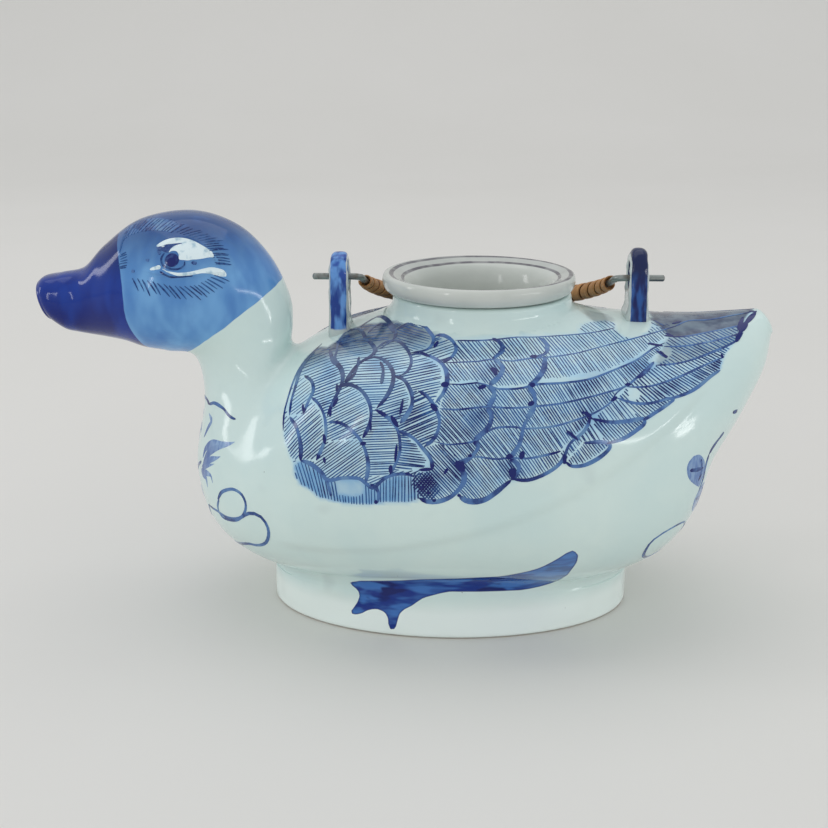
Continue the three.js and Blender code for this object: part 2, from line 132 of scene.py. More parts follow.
def wing_relief(x, y, z):
    """How far the moulded wing stands out: full height inside smooth steps at its front, its
    tail, its lower edge (HEM_LOW + HEM_RISE * share^2.1) and where the flank turns over to
    the back."""
    share = np.clip((x - WING_FRONT) / (WING_TAIL - WING_FRONT), 0, 1)
    hem = HEM_LOW + HEM_RISE * share**2.1
    front = smooth(WING_FRONT - WING_EDGE, WING_FRONT + WING_EDGE, x)
    tail = 1 - smooth(WING_TAIL - 2 * WING_EDGE, WING_TAIL, x)
    low = smooth(hem - WING_EDGE / 2, hem + WING_EDGE / 2, z)
    return WING_RISE * (front * tail) * low * smooth(24, 38, np.abs(y))


def lid(off, height, half, x, front, back):
    """A rounded ridge: a bell of the height off its line, fading out at its front and back."""
    return height * np.exp(-((off / half) ** 2)) * smooth(*front, x) * (1 - smooth(*back, x))


def eye_relief(x, y, z):
    """The eyeball is a low oval dome. The lids are two rounded ridges: the upper one an arc
    over the dome, the lower one a nearly straight line under it."""
    ball = ((x - EYE_X) / EYE_LONG) ** 2 + ((z - EYE_HEIGHT) / EYE_TALL) ** 2
    dome = 1.25 * np.clip(1 - ball, 0, 1) ** 1.1
    arc = 129.9 - 0.052 * (x + 70.0) ** 2 - 0.0009 * np.abs(x + 70.0) ** 3
    upper_lid = lid(z - arc, 0.65, 0.9, x, (-82, -77), (-60, -56))
    line = 118.9 + 0.004 * (x + 69.0) ** 2
    lower_lid = lid(z - line, 0.75, 0.75, x, (-84, -78), (-60, -54))
    relief = dome + upper_lid + lower_lid
    return relief * smooth(8, 12, np.abs(y)) * smooth(-96, -92, x) * (x < -45)


def collar_foot(x, y, z, nearest=COLLAR_LIP + 1.6):
    """How far the back rises to the collar: a wall at the collar itself, then a soft foot that
    fades out over 9 mm at the sides and 20 mm along the back: (1 - share^0.42)^1.6."""
    radius = np.hypot(x - MOUTH_X, y)
    along = ((x - MOUTH_X) / np.maximum(radius, 1)) ** 2
    spread = FOOT_SPREAD + FOOT_SPREAD_ALONG * along
    share = np.clip((np.maximum(radius, nearest) - COLLAR_LIP) / spread, 0, 1)
    return (z > 80) * (LIP_HEIGHT - 1.5 - z) * (1 - share**0.42) ** 1.6


def skin(s, b, side=NEAR, grow=0.0, raised=True):
    """Point of the duck's skin. s is the place along the sections, b the angle round one, 0 on
    the back line and 180 on the belly line. A section is a superellipse: from the middle, the
    way at angle b is followed until its two sides, each to the power of the boxiness, add up
    to 1, and is then stretched to the section's half height and half width. The wing and the
    eye then stand out sideways, and the collar's foot up. Below the middle, between the tail
    and the rump, the skin is drawn in by a bell of s times the square of how far down it is."""
    row = curve_through(SECTIONS, s)
    back_x, back_z, belly_x, belly_z, half, boxy = np.moveaxis(row, -1, 0)
    turn = np.radians(b)
    up, out = np.cos(turn), np.sin(turn)
    power = np.where(up < 0, np.minimum(boxy, UNDER_BOXINESS), boxy)
    reach = (np.abs(up) ** power + np.abs(out) ** power) ** (-1 / power)
    up, out = up * reach, out * reach
    mid_x, mid_z = (back_x + belly_x) / 2, (back_z + belly_z) / 2
    rise_x, rise_z = back_x - mid_x, back_z - mid_z
    reach = np.hypot(rise_x, rise_z)
    k = up * (reach + grow) / reach
    x, z = mid_x + rise_x * k, mid_z + rise_z * k
    hollow = RUMP_HOLLOW * np.exp(-(((s - HOLLOW_PLACE) / HOLLOW_SPREAD) ** 2))
    x = x - hollow * np.where(k < 0, k * k, 0)
    y = side * out * (half + grow)
    if raised:
        y = y + np.sign(y) * (wing_relief(x, y, z) + eye_relief(x, y, z))
        z = z + collar_foot(x, y, z)
    return np.stack([x, y, z], -1)


def skin_frame(s, b, side):
    """Point, slope along s, slope along b and outward normal, by central differences."""
    ds, db = 0.01, 0.25
    point = skin(s, b, side)
    along = (skin(s + ds, b, side) - skin(s - ds, b, side)) / (2 * ds)
    round_ = (skin(s, b + db, side) - skin(s, b - db, side)) / (2 * db)
    normal = np.cross(along, round_)
    normal /= np.linalg.norm(normal, axis=-1, keepdims=True) + 1e-12
    row = curve_through(SECTIONS, s)
    middle_x, middle_z = (row[..., 0] + row[..., 2]) / 2, (row[..., 1] + row[..., 3]) / 2
    middle = np.stack([middle_x, 0 * middle_x, middle_z], -1)
    facing = np.sign(np.sum(normal * (point - middle), -1, keepdims=True))
    return point, along, round_, normal * np.where(facing == 0, 1, facing)


def find_on_skin(x, y, s, b):
    """(s, b) of the near flank's points at a given x and y, by Newton's steps from a guess."""
    wanted = np.stack([x, y], -1)
    for _ in range(14):
        point, along, round_, _ = skin_frame(s, b, NEAR)
        miss = wanted - point[..., :2]
        det = along[..., 0] * round_[..., 1] - along[..., 1] * round_[..., 0]
        det = np.where(np.abs(det) < 1e-6, 1e-6, det)
        step_s = (miss[..., 0] * round_[..., 1] - miss[..., 1] * round_[..., 0]) / det
        step_b = (along[..., 0] * miss[..., 1] - along[..., 1] * miss[..., 0]) / det
        s = np.clip(s + np.clip(step_s, -0.7, 0.7), 0, LAST)
        b = np.clip(b + np.clip(step_b, -12, 12), 0.5, 179.5)
    return s, b


def height_of_skin(x, y, rows, column, under, raised):
    """Height of the skin over or under (x, y). The search starts between the sections of some
    rows, by the x in one of their columns, and at the angle whose sine is y's share of the
    half width."""
    guess = np.interp(-x, -SECTIONS[rows, column], rows)
    half = np.interp(guess, np.arange(LAST + 1), SECTIONS[:, 4])
    bend = np.degrees(np.arcsin(np.clip(np.abs(y) / half, 0, 0.97)))
    bend = np.minimum(180 - bend, 179.0) if under else np.maximum(bend, 1.0)
    s, b = find_on_skin(x, -np.abs(y), guess, bend)
    return skin(s, b, raised=raised)[..., 2]


def height_on_back(x, y):
    """Height of the duck's back over (x, y), without the collar's foot."""
    return height_of_skin(x, y, np.arange(2, 10), 0, under=False, raised=False)


def height_under_belly(x, y):
    """Height of the duck's belly over (x, y)."""
    return height_of_skin(x, y, np.arange(3, 11), 2, under=True, raised=True)


# Meshes.


def full_turn(count):
    """Angles spaced evenly round a full turn."""
    return np.linspace(0, 2 * np.pi, count, endpoint=False)


def weave(rows, columns, round_columns=True, round_rows=False, first=0):
    """Four-cornered faces of a grid of points, closed round either way."""
    r = np.arange(rows if round_rows else rows - 1)
    c = np.arange(columns if round_columns else columns - 1)
    r, c = np.meshgrid(r, c, indexing="ij")
    r2, c2 = (r + 1) % rows, (c + 1) % columns
    corners = [r * columns + c, r * columns + c2, r2 * columns + c2, r2 * columns + c]
    return np.stack(corners, -1).reshape(-1, 4) + first


def capped(grid):
    """Points and faces of a tube given as rows of rings, each end closed by a fan to its hub."""
    rows, columns = grid.shape[:2]
    points = grid.reshape(-1, 3)
    hubs = np.stack([grid[0].mean(0), grid[-1].mean(0)])
    c = np.arange(columns)
    start = np.stack([c * 0 + len(points), (c + 1) % columns, c], -1)
    last = (rows - 1) * columns
    end = np.stack([c * 0 + len(points) + 1, last + c, last + (c + 1) % columns], -1)
    return np.vstack([points, hubs]), [weave(rows, columns), start, end]


def volume(points, face_sets):
    """Signed volume inside the faces, as the sum of the tetrahedra that they make at the origin."""
    total = 0.0
    for faces in face_sets:
        for k in range(1, faces.shape[1] - 1):
            a, b, c = points[faces[:, 0]], points[faces[:, k]], points[faces[:, k + 1]]
            total += np.einsum("ij,ij->", a, np.cross(b, c)) / 6
    return total


def add_object(name, data):
    """A new object in the scene."""
    made = bpy.data.objects.new(name, data)
    bpy.context.scene.collection.objects.link(made)
    return made


def smooth_shaded(mesh, sharp):
    """Shades a mesh smooth, but for edges sharper than so many degrees."""
    mesh.polygons.foreach_set("use_smooth", np.ones(len(mesh.polygons), bool))
    if sharp:
        mesh.set_sharp_from_angle(angle=np.radians(sharp))


def make(name, points, face_sets, sharp=None):
    """A mesh object of the points, in metres, with its faces turned outwards."""
    if not isinstance(face_sets, list):
        face_sets = [face_sets]
    if volume(points, face_sets) < 0:
        face_sets = [faces[:, ::-1] for faces in face_sets]
    mesh = bpy.data.meshes.new(name)
    counts = np.concatenate([np.full(len(f), f.shape[1]) for f in face_sets])
    corners = np.concatenate([f.reshape(-1) for f in face_sets])
    mesh.vertices.add(len(points))
    mesh.vertices.foreach_set("co", (points * MM).astype(np.float32).reshape(-1))
    mesh.loops.add(len(corners))
    mesh.loops.foreach_set("vertex_index", corners.astype(np.int32))
    mesh.polygons.add(len(counts))
    mesh.polygons.foreach_set("loop_start", (np.cumsum(counts) - counts).astype(np.int32))
    mesh.update(calc_edges=True)
    mesh.validate()
    smooth_shaded(mesh, sharp)
    return add_object(name, mesh)


def cut(piece, *tools):
    """Takes the tools' solids out of a piece, and keeps the result as its mesh."""
    for tool in tools:
        bite = piece.modifiers.new("cut", "BOOLEAN")
        bite.operation, bite.solver, bite.object = "DIFFERENCE", "MANIFOLD", tool
    ready = piece.evaluated_get(bpy.context.evaluated_depsgraph_get())
    mesh = bpy.data.meshes.new_from_object(ready)
    piece.modifiers.clear()
    piece.data = mesh
    smooth_shaded(mesh, 35)
    for tool in tools:
        bpy.data.objects.remove(tool)


def give_values(piece, name, values):
    """A number at each point of a piece, which its finish reads by name."""
    layer = piece.data.attributes.new(name, "FLOAT", "POINT")
    layer.data.foreach_set("value", values.astype(np.float32))


def finished(piece, body, slot, finish, *replaced):
    """Says what a piece rides on, its finish and the solids that it stands for. Its slot is not used."""
    piece.data.materials.clear()
    piece.data.materials.append(finish)
    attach(piece, body)
    if replaced:
        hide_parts(*replaced)


def turned(profile, x, segments):
    """Rings of a round piece: a profile of (radius, height) carried round an upright axis."""
    profile = np.asarray(profile, float)
    angle = full_turn(segments)
    r, z = profile[:, 0, None], profile[:, 1, None]
    return np.stack([x + r * np.cos(angle), r * np.sin(angle), z + 0 * angle], -1)


# Finishes.


def ink(red, green, blue):
    """A colour as it is seen, 0 to 255 a channel, turned into the linear one that shaders use."""
    c = np.array([red, green, blue], float) / 255
    c = np.where(c <= 0.04045, c / 12.92, ((c + 0.055) / 1.055) ** 2.4)
    return (*(float(v) for v in c), 1.0)


class Flow:
    """One number running through a finish. Python's sums on it become Math nodes."""

    def __init__(self, finish, socket):
        self.finish, self.socket = finish, socket

    def math(self, operation, *values):
        return self.finish.node("ShaderNodeMath", {"operation": operation}, dict(enumerate(values)))

    def __add__(self, other):
        return self.math("ADD", self, other)

    def __sub__(self, other):
        return self.math("SUBTRACT", self, other)

    def __rsub__(self, other):
        return self.math("SUBTRACT", other, self)

    def __mul__(self, other):
        return self.math("MULTIPLY", self, other)

    def __truediv__(self, other):
        return self.math("DIVIDE", self, other)

    def __pow__(self, other):
        return self.math("POWER", self, other)

    __radd__, __rmul__ = __add__, __mul__

    def size(self):
        return self.math("ABSOLUTE", self)

    def least(self, other):
        return self.math("MINIMUM", self, other)

    def most(self, other):
        return self.math("MAXIMUM", self, other)

    def rise(self, low, high):
        """0 below low and 1 above high, smooth between them."""
        settings = {"interpolation_type": "SMOOTHSTEP"}
        return self.finish.node("ShaderNodeMapRange", settings, {0: self, 1: low, 2: high})


class Finish:
    """A material with one main shader, built by calls that each add one node."""

    def __init__(self, name, roughness=0.5, **sockets):
        self.material = bpy.data.materials.new(name)
        self.material.use_nodes = True
        self.tree = self.material.node_tree
        self.shader = self.tree.nodes["Principled BSDF"]
        self.shader.inputs["Roughness"].default_value = roughness
        for key, value in sockets.items():
            self.shader.inputs[key.replace("_", " ")].default_value = value

    def node(self, kind, settings=None, inputs=None, output=0):
        """Adds a node: its settings first, then the values or links of its sockets."""
        made = self.tree.nodes.new(kind)
        for key, value in (settings or {}).items():
            setattr(made, key, value)
        for key, value in (inputs or {}).items():
            if isinstance(value, Flow):
                self.tree.links.new(value.socket, made.inputs[key])
            else:
                made.inputs[key].default_value = value
        return Flow(self, made.outputs[output])

    def three(self, kind, whole):
        """The three numbers that a vector or a colour is made of."""
        return [self.node(kind, {}, {0: whole}, k) for k in range(3)]

    def place(self):
        """Object coordinates in millimetres: the vector, and its x, y and z."""
        raw = self.node("ShaderNodeTexCoord", output=3)
        vector = self.node("ShaderNodeVectorMath", {"operation": "SCALE"}, {0: raw, 3: 1 / MM})
        return vector, *self.three("ShaderNodeSeparateXYZ", vector)

    def attribute(self, name):
        """A number that the piece holds at each point."""
        return self.node("ShaderNodeAttribute", {"attribute_name": name}, output=2)

    def cells(self, vector, period, output=0):
        """Cells about one period across: the distance to the nearest middle, or its colour."""
        inputs = {"Vector": vector, "Scale": 1 / period}
        return self.node("ShaderNodeTexVoronoi", {"feature": "F1"}, inputs, output)

    def noise(self, vector, period, detail=2.0, stretch=None):
        """Soft noise, 0 to 1, with features about one period across, longer along a stretch."""
        if stretch:
            settings = {"vector_type": "POINT"}
            vector = self.node("ShaderNodeMapping", settings, {0: vector, 3: stretch})
        inputs = {"Vector": vector, "Scale": 1 / period, "Detail": detail}
        return self.node("ShaderNodeTexNoise", {}, inputs)

    def mix(self, share, first, second):
        """From the first colour to the second as share goes from 0 to 1."""
        settings = {"data_type": "RGBA", "clamp_factor": True}
        return self.node("ShaderNodeMix", settings, {0: share, 6: first, 7: second}, 2)

    def coats(self, colour, *layers):
        """Lays colours over a first one, each by its own share."""
        for share, over in layers:
            colour = self.mix(share, colour, over)
        return colour

    def drive(self, name, flow):
        """Lets a flow set one socket of the main shader."""
        self.tree.links.new(flow.socket, self.shader.inputs[name])

    def bumps(self, height, depth):
        """Bumps of a depth in millimetres for a height that goes from 0 to 1."""
        inputs = {"Height": height, "Strength": 1.0, "Distance": depth * MM}
        self.drive("Normal", self.node("ShaderNodeBump", {}, inputs))

    def surface(self, colour, roughness, height=None, depth=0.0):
        """Sets colour, gloss and bumps, and gives the material."""
        self.drive("Base Color", colour)
        self.drive("Roughness", roughness)
        if height is not None:
            self.bumps(height, depth)
        return self.material


# How strongly the clear glaze mirrors, and the width and depth of its slow swell.
GLAZE_IOR = 1.43
SWELL, SWELL_DEPTH = 22, 0.26


def porcelain(finish, at, z, fine):
    """Bluish white clay with slow changes of tone and grey smudges, and painted whiter on the foot as
    painted light.
    """
    broad = finish.noise(at, 34, 2)
    smudge = finish.noise(at, 16, 1).rise(0.68, 0.8)
    return finish.coats(
        finish.mix(broad.rise(0.35, 0.65), ink(212, 233, 230), ink(220, 238, 233)),
        (fine * 0.35, ink(204, 227, 227)),
        (smudge * 0.22, ink(170, 182, 184)),
        # Painted light: below 7 to 15 mm the clay is painted whiter, standing in for light falling on the
        # foot.
        (1 - z.rise(7, 15), ink(240, 250, 246)),
    )


def wing_washes(finish, at, white):
    """The washes laid inside the wings: a pale tint, the hem's deeper blue, and a grey."""
    wash = finish.node("ShaderNodeAttribute", {"attribute_name": "wash"})
    tint, hem, grey = finish.three("ShaderNodeSeparateColor", wash)
    uneven = finish.noise(at, 6, 3).rise(0.3, 0.7)
    return finish.coats(
        white,
        (tint * (0.42 + 0.38 * uneven), ink(172, 216, 242)),
        (hem * (0.72 + 0.25 * uneven), ink(116, 170, 216)),
        (grey * (0.76 + 0.24 * uneven), ink(52, 64, 96)),
    )


def head_and_beak(finish, at, x, z, white):
    """A pale wash down to a slanting straight edge on the neck, and a deep one over the beak.
    The beak's edge bends by the square of the height above or below its middle."""
    brush = finish.noise(at, 4.2, 3, (0.6, 1.0, 0.28))
    streak = finish.noise(at, 9, 2, (1.0, 1.0, 0.4))
    wander = (finish.noise(at, 7, 1) - 0.5) * 1.1
    head_edge = 88.5 + 0.745 * (x + 74) + wander
    head = (z - head_edge).rise(-0.18, 0.18) * (1 - x.rise(-38.5, -38.3))
    pale = finish.coats(
        finish.mix(streak.rise(0.35, 0.68), ink(86, 142, 204), ink(116, 172, 224)),
        ((z - 116).rise(0, 18) * 0.9, ink(30, 66, 128)),
        (brush.rise(0.5, 0.72) * 0.35, ink(66, 118, 190)),
    )
    over, under = (z - 108).most(0), (108 - z).most(0)
    wander = (finish.noise(at, 5, 1) - 0.5) * 0.6
    beak_edge = -90.3 - over * over * 0.0085 + under * under * 0.0165 - wander
    beak = (beak_edge - x).rise(-0.18, 0.18) * head
    deep = finish.coats(
        finish.mix((z - 98).rise(0, 20), ink(0, 24, 112), ink(0, 52, 150)),
        (streak.rise(0.4, 0.7) * 0.6, ink(16, 64, 164)),
        ((z - 112).rise(0, 14) * 0.85, ink(0, 30, 96)),
        (brush.rise(0.48, 0.7) * 0.4, ink(0, 26, 112)),
    )
    return finish.coats(white, (head, pale), (beak, deep))


def leg_wash(finish, at, x, coat):
    """The painted leg: cobalt in long streaks, paler at its right end, darker at its rim."""
    depth = finish.attribute("leg")
    band = finish.noise(at, 3.4, 2, (0.2, 1.0, 1.0)).rise(0.4, 0.6)
    streak = finish.noise(at, 4.4, 2, (0.35, 1, 1)).rise(0.52, 0.62)
    cobalt = finish.coats(
        finish.mix(band, ink(4, 46, 134), ink(60, 114, 188)),
        (streak, ink(0, 24, 100)),
        ((x - 36).rise(0, 14) * 0.4, ink(112, 158, 212)),
        (1 - depth.rise(0.1, 0.75), ink(20, 46, 120)),
    )
    return finish.mix(depth.rise(0.02, 0.24), coat, cobalt)


def glaze_finish():
    """White porcelain under a clear glaze, with the broad cobalt washes painted on it, a few
    iron specks, and the warmer clay of the foot's standing edge left bare."""
    finish = Finish("duck_glaze", 0.1, IOR=GLAZE_IOR)
    at, x, _, z = finish.place()
    fine = finish.noise(at, 5, 3)
    coat = porcelain(finish, at, z, fine)
    coat = wing_washes(finish, at, coat)
    coat = head_and_beak(finish, at, x, z, coat)
    coat = leg_wash(finish, at, x, coat)
    chance = finish.node("ShaderNodeSeparateColor", {}, {0: finish.cells(at, 7.0, 1)})
    speck = (1 - finish.cells(at, 7.0).rise(0.018, 0.042)) * chance.rise(0.8, 0.84)
    bare = 1 - (z + (finish.noise(at, 3, 1) - 0.5) * 0.4).rise(0.3, 0.6)
    coat = finish.coats(coat, (speck * 0.8, ink(62, 64, 70)), (bare, ink(198, 192, 178)))
    swell = finish.noise(at, SWELL, 1) + finish.noise(at, 5.5, 1) * 0.16
    return finish.surface(coat, 0.085 + fine * 0.05 + bare * 0.5, swell, SWELL_DEPTH)


def cobalt_stroke_finish():
    """Brush line in cobalt: mid blue, pooling darker where the brush stopped, and greyer over the shoulder."""
    finish = Finish("cobalt_brush_line", 0.1, IOR=GLAZE_IOR)
    at, x, _, z = finish.place()
    load = finish.attribute("load")
    patch = finish.noise(at, 6.5, 2)
    grain = finish.noise(at, 1.1, 2)
    thick = load * 0.85 + patch.rise(0.42, 0.6) * 0.62 + (grain - 0.5) * 0.6
    faint = (1 - patch.rise(0.34, 0.44)) * (1 - load)
    shoulder_grey = z.rise(82, 91) * (1 - x.rise(-2, 12)) * x.rise(-60, -50)
    colour = finish.coats(
        finish.mix(thick.rise(0.1, 0.95), ink(78, 118, 174), ink(4, 26, 104)),
        (faint * 0.6, ink(112, 152, 188)),
        (shoulder_grey * 0.6, ink(64, 74, 104)),
    )
    return finish.surface(colour, 0.09 + grain * 0.05, finish.noise(at, SWELL, 1), SWELL_DEPTH)


def cobalt_pen_finish():
    """Fine hatching drawn with a thin brush, dark with lighter dry places."""
    finish = Finish("cobalt_fine_line", 0.1, IOR=GLAZE_IOR)
    at = finish.place()[0]
    grain = finish.noise(at, 1.4, 2)
    patch = (finish.noise(at, 9, 2) + (grain - 0.5) * 0.7).rise(0.34, 0.64)
    colour = finish.coats(
        finish.mix(patch, ink(10, 42, 106), ink(42, 92, 152)),
        (grain.rise(0.56, 0.7) * 0.4, ink(76, 120, 172)),
        (finish.attribute("load"), ink(0, 16, 92)),
    )
    return finish.surface(colour, 0.09 + grain * 0.05, finish.noise(at, SWELL, 1), SWELL_DEPTH)


def cobalt_wash_finish():
    """Pale cobalt wash of the petals and leaves, with deeper streaks of the brush."""
    finish = Finish("cobalt_wash", 0.1, IOR=GLAZE_IOR)
    at = finish.place()[0]
    streak = finish.noise(at, 1.6, 2, (1, 1, 0.35))
    colour = finish.coats(
        finish.mix(streak.rise(0.4, 0.62), ink(148, 178, 214), ink(108, 140, 192)),
        (finish.attribute("load") * 0.8, ink(64, 92, 158)),
    )
    return finish.surface(colour, 0.09 + streak * 0.04, finish.noise(at, SWELL, 1), SWELL_DEPTH)


def eye_white_and_glint_finish():
    """Glaze left bare in the eye, a blue-tinged white that also carries painted highlights: a painted
    reflection over the pupil and a painted glint along the lower lid.
    """
    finish = Finish("eye_white_and_glint", 0.08, IOR=GLAZE_IOR)
    shade = finish.noise(finish.place()[0], 2.6, 2)
    colour = finish.mix(shade.rise(0.5, 0.72), ink(230, 246, 250), ink(176, 206, 222))
    return finish.surface(colour, 0.08 + shade * 0.04)


def lug_finish():
    """Cobalt over the lug's strap, with its two flat faces and its foot left white. The rear lug's cobalt
    is painted darker, and darkest at its top: painted shade."""
    finish = Finish("lug_glaze", 0.1, IOR=GLAZE_IOR)
    at, x, _, z = finish.place()
    front, rear = (x - FRONT_LUG_X).size(), (x - REAR_LUG_X).size()
    face = (front.least(rear) + (finish.noise(at, 4, 1) - 0.5) * 0.5).rise(2.5, 2.75)
    wander = (finish.noise(at, 3, 1) - 0.5) * 1.4
    foot = 1 - (z + wander - (x - 28) * 0.02).rise(98.2, 99.0)
    streak = finish.noise(at, 2.4, 2, (1.0, 1.0, 0.3))
    # Painted shade: the rear lug, the same cobalt as the front one, is coloured darker, and darker still
    # towards its top.
    dim = finish.mix(streak.rise(0.4, 0.66), ink(2, 24, 90), ink(38, 86, 156))
    dim = finish.mix((z - 112).rise(0, 7), dim, ink(8, 28, 78))
    cobalt = finish.coats(
        finish.mix(streak.rise(0.36, 0.62), ink(20, 62, 144), ink(104, 158, 224)),
        (finish.noise(at, 5, 2).rise(0.5, 0.66), ink(40, 78, 164)),
        ((x - 28).rise(0, 1), dim),
    )
    white = finish.mix(finish.noise(at, 9, 2), ink(203, 213, 209), ink(186, 197, 200))
    colour = finish.mix(face.most(foot), cobalt, white)
    return finish.surface(colour, 0.085 + streak * 0.05, finish.noise(at, 8, 1), 0.25)


def cup_finish():
    """The infuser's porcelain, a little greyer, with two cobalt rings painted on its rim, coloured
    purple-grey: their own cobalt with a painted grazing reflection.
    """
    finish = Finish("cup_glaze", 0.1, IOR=GLAZE_IOR)
    at, x, y, z = finish.place()
    along = x - CUP_X - 0.7
    radius = (along * along + y * y) ** 0.5
    wander = (finish.noise(at, 14, 2) - 0.5) * 0.7
    top = (z - LIP_HEIGHT).rise(3.9, 4.5)
    outer, inner = (
        1 - (radius + wander - middle).size().rise(half * 0.7, half * 1.2)
        for middle, half in ((30.1, 0.75), (26.3, 0.6))
    )
    between_rings = radius.rise(25.9, 26.9) * (1 - radius.rise(29.4, 30.4)) * 0.2
    rings = outer.most(inner).most(between_rings)
    worn = 0.7 + 0.3 * finish.noise(at, 5, 2).rise(0.35, 0.6)
    speck = (1 - finish.cells(at, 6.0).rise(0.015, 0.03)) * 0.5
    # The rings' purple-grey is partly their cobalt and partly a painted reflection, as cobalt looks at a
    # grazing angle.
    colour = finish.coats(
        finish.mix(finish.noise(at, 18, 2).rise(0.3, 0.7), ink(197, 202, 196), ink(208, 212, 206)),
        (speck, ink(120, 116, 110)),
        (rings * top * worn * 0.95, ink(86, 82, 92)),
    )
    return finish.surface(colour, 0.1 + finish.noise(at, 5, 2) * 0.06, finish.noise(at, 12, 2), 0.2)


def wire_finish():
    """Old drawn wire: dull grey metal, brown where it has begun to rust."""
    finish = Finish("bail_wire_metal", 0.4)
    at = finish.place()[0]
    rust = finish.noise(at, 4, 4).rise(0.5, 0.68)
    draw = finish.noise(at, 0.6, 2, (0.08, 1, 1))
    steel = finish.mix(draw, ink(124, 132, 130), ink(158, 163, 160))
    finish.drive("Metallic", 0.85 - rust * 0.7)
    colour = finish.mix(rust * 0.7, steel, ink(98, 84, 70))
    return finish.surface(colour, 0.34 + rust * 0.3, rust + draw * 0.4, 0.05)


def cane_finish(name, light, dark):
    """Split cane: fibres run along the strip, with darker knots."""
    finish = Finish(name, 0.5)
    uv = finish.node("ShaderNodeUVMap", {"uv_map": "strip"})
    fibre = finish.noise(uv, 0.35, 3, (0.06, 1.0, 1.0))
    knot = finish.noise(uv, 9, 2, (1.0, 0.2, 1.0)).rise(0.56, 0.72)
    colour = finish.mix(fibre.rise(0.35, 0.65), dark, light)
    colour = finish.mix(knot * 0.55, colour, ink(92, 54, 26))
    return finish.surface(colour, 0.42 + fibre * 0.25, fibre, 0.12)


# The pot.


def blur_inside(polygon, s, b, spread_s=0.035, spread_b=0.6):
    """Share of five nearby places that lie inside a polygon of (s, b), as a soft mask."""
    shifts = [(0, 0), (spread_s, 0), (-spread_s, 0), (0, spread_b), (0, -spread_b)]
    return sum(inside(polygon, s + u, b + v).astype(float) for u, v in shifts) / len(shifts)


def inside(polygon, s, b):
    """Even-odd test: a place is inside when a line from it crosses the polygon's edges an odd
    number of times."""
    polygon = np.asarray(polygon, float)
    s0, b0 = polygon[:, 0], polygon[:, 1]
    s1, b1 = np.roll(s0, -1), np.roll(b0, -1)
    odd = np.zeros(np.shape(s), bool)
    for k in range(len(polygon)):
        if b0[k] == b1[k]:
            continue
        spans = (b0[k] > b) != (b1[k] > b)
        odd ^= spans & (s < (s1[k] - s0[k]) * (b - b0[k]) / (b1[k] - b0[k]) + s0[k])
    return odd


def rounded_tip(ring, out, bulge, share, steps=7):
    """Rings that round off a tube's end: each is the end ring drawn in by a share of one less
    the cosine of a quarter turn, and moved out by its sine."""
    middle = ring.mean(0)
    turn = np.linspace(0, np.pi / 2, steps + 1)[1:, None, None]
    return middle + (ring - middle) * (1 - share * (1 - np.cos(turn))) + out * bulge * np.sin(turn)


# Outline of the painted leg and webbed foot, as x and height on an upright sheet 40 mm out from
# the middle, seen from the camera's place.
LEG = [(-16.4, 20.4), (-12.8, 21.0), (-6.2, 21.1), (0.4, 21.3), (6.9, 21.8), (13.4, 22.0),
       (20.0, 22.3), (26.5, 22.7), (33.0, 23.2), (36.3, 23.8), (39.5, 24.5), (42.7, 25.3),
       (46.0, 26.4), (48.5, 27.8), (50.7, 29.1), (53.0, 30.7), (54.8, 32.1), (56.4, 32.6),
       (57.7, 32.3), (58.3, 30.6), (58.0, 28.5), (57.0, 26.7), (56.0, 25.3), (55.1, 23.8),
       (52.6, 22.0), (49.4, 20.6), (46.1, 19.5), (42.9, 18.7), (39.6, 18.1), (33.1, 17.7),
       (26.6, 17.4), (20.0, 17.3), (16.8, 17.3), (13.8, 16.7), (10.9, 15.8), (8.2, 15.0), (6.6, 13.9),
       (4.3, 12.1), (1.6, 10.6), (0.3, 9.1), (-0.3, 7.0), (-1.0, 4.1), (-2.0, 3.3), (-3.0, 3.5),
       (-3.7, 5.5), (-3.8, 7.6), (-4.6, 9.3), (-5.6, 10.1), (-7.3, 10.7), (-8.9, 10.6), (-10.6, 10.1),
       (-12.2, 9.1), (-14.2, 8.6), (-15.6, 8.9), (-16.0, 10.0), (-15.2, 11.1), (-13.8, 13.3),
       (-13.2, 15.1), (-13.1, 16.5), (-14.1, 17.9), (-15.4, 19.0)]
SHEET_OUT = -40.0
VIEWPOINT = np.array([17.734, -447.08, 201.103])


def depth_inside(outline, x, z):
    """How far inside an outline places lie, negative outside: the distance to the nearest edge."""
    start = np.asarray(outline, float)
    edge = np.roll(start, -1, 0) - start
    off = np.stack([x, z], -1)[:, None, :] - start
    share = np.clip(np.sum(off * edge, -1) / np.sum(edge * edge, -1), 0, 1)
    gap = np.linalg.norm(off - share[..., None] * edge, axis=-1).min(1)
    return np.where(inside(start, x, z), gap, -gap)


def on_sheet(points):
    """Where the lines of sight through points meet the upright sheet, as x and height. Points
    of the far flank count as their mirror images."""
    y = -np.abs(points[..., 1])
    k = (SHEET_OUT - VIEWPOINT[1]) / (y - VIEWPOINT[1])
    x = VIEWPOINT[0] + (points[..., 0] - VIEWPOINT[0]) * k
    z = VIEWPOINT[2] + (points[..., 2] - VIEWPOINT[2]) * k
    return np.stack([x, z], -1)


def mark_leg(piece, points):
    """Gives each point of a piece its depth inside the painted leg, on both flanks alike."""
    depth = np.full(len(points), -2.0)
    x, y, z = points.T
    near = (z < 60) & (np.abs(y) > 22) & (x > -22) & (x < 64)
    place = on_sheet(points[near])
    depth[near] = np.clip(depth_inside(LEG, place[:, 0], place[:, 1]), -2, 2)
    give_values(piece, "leg", depth)


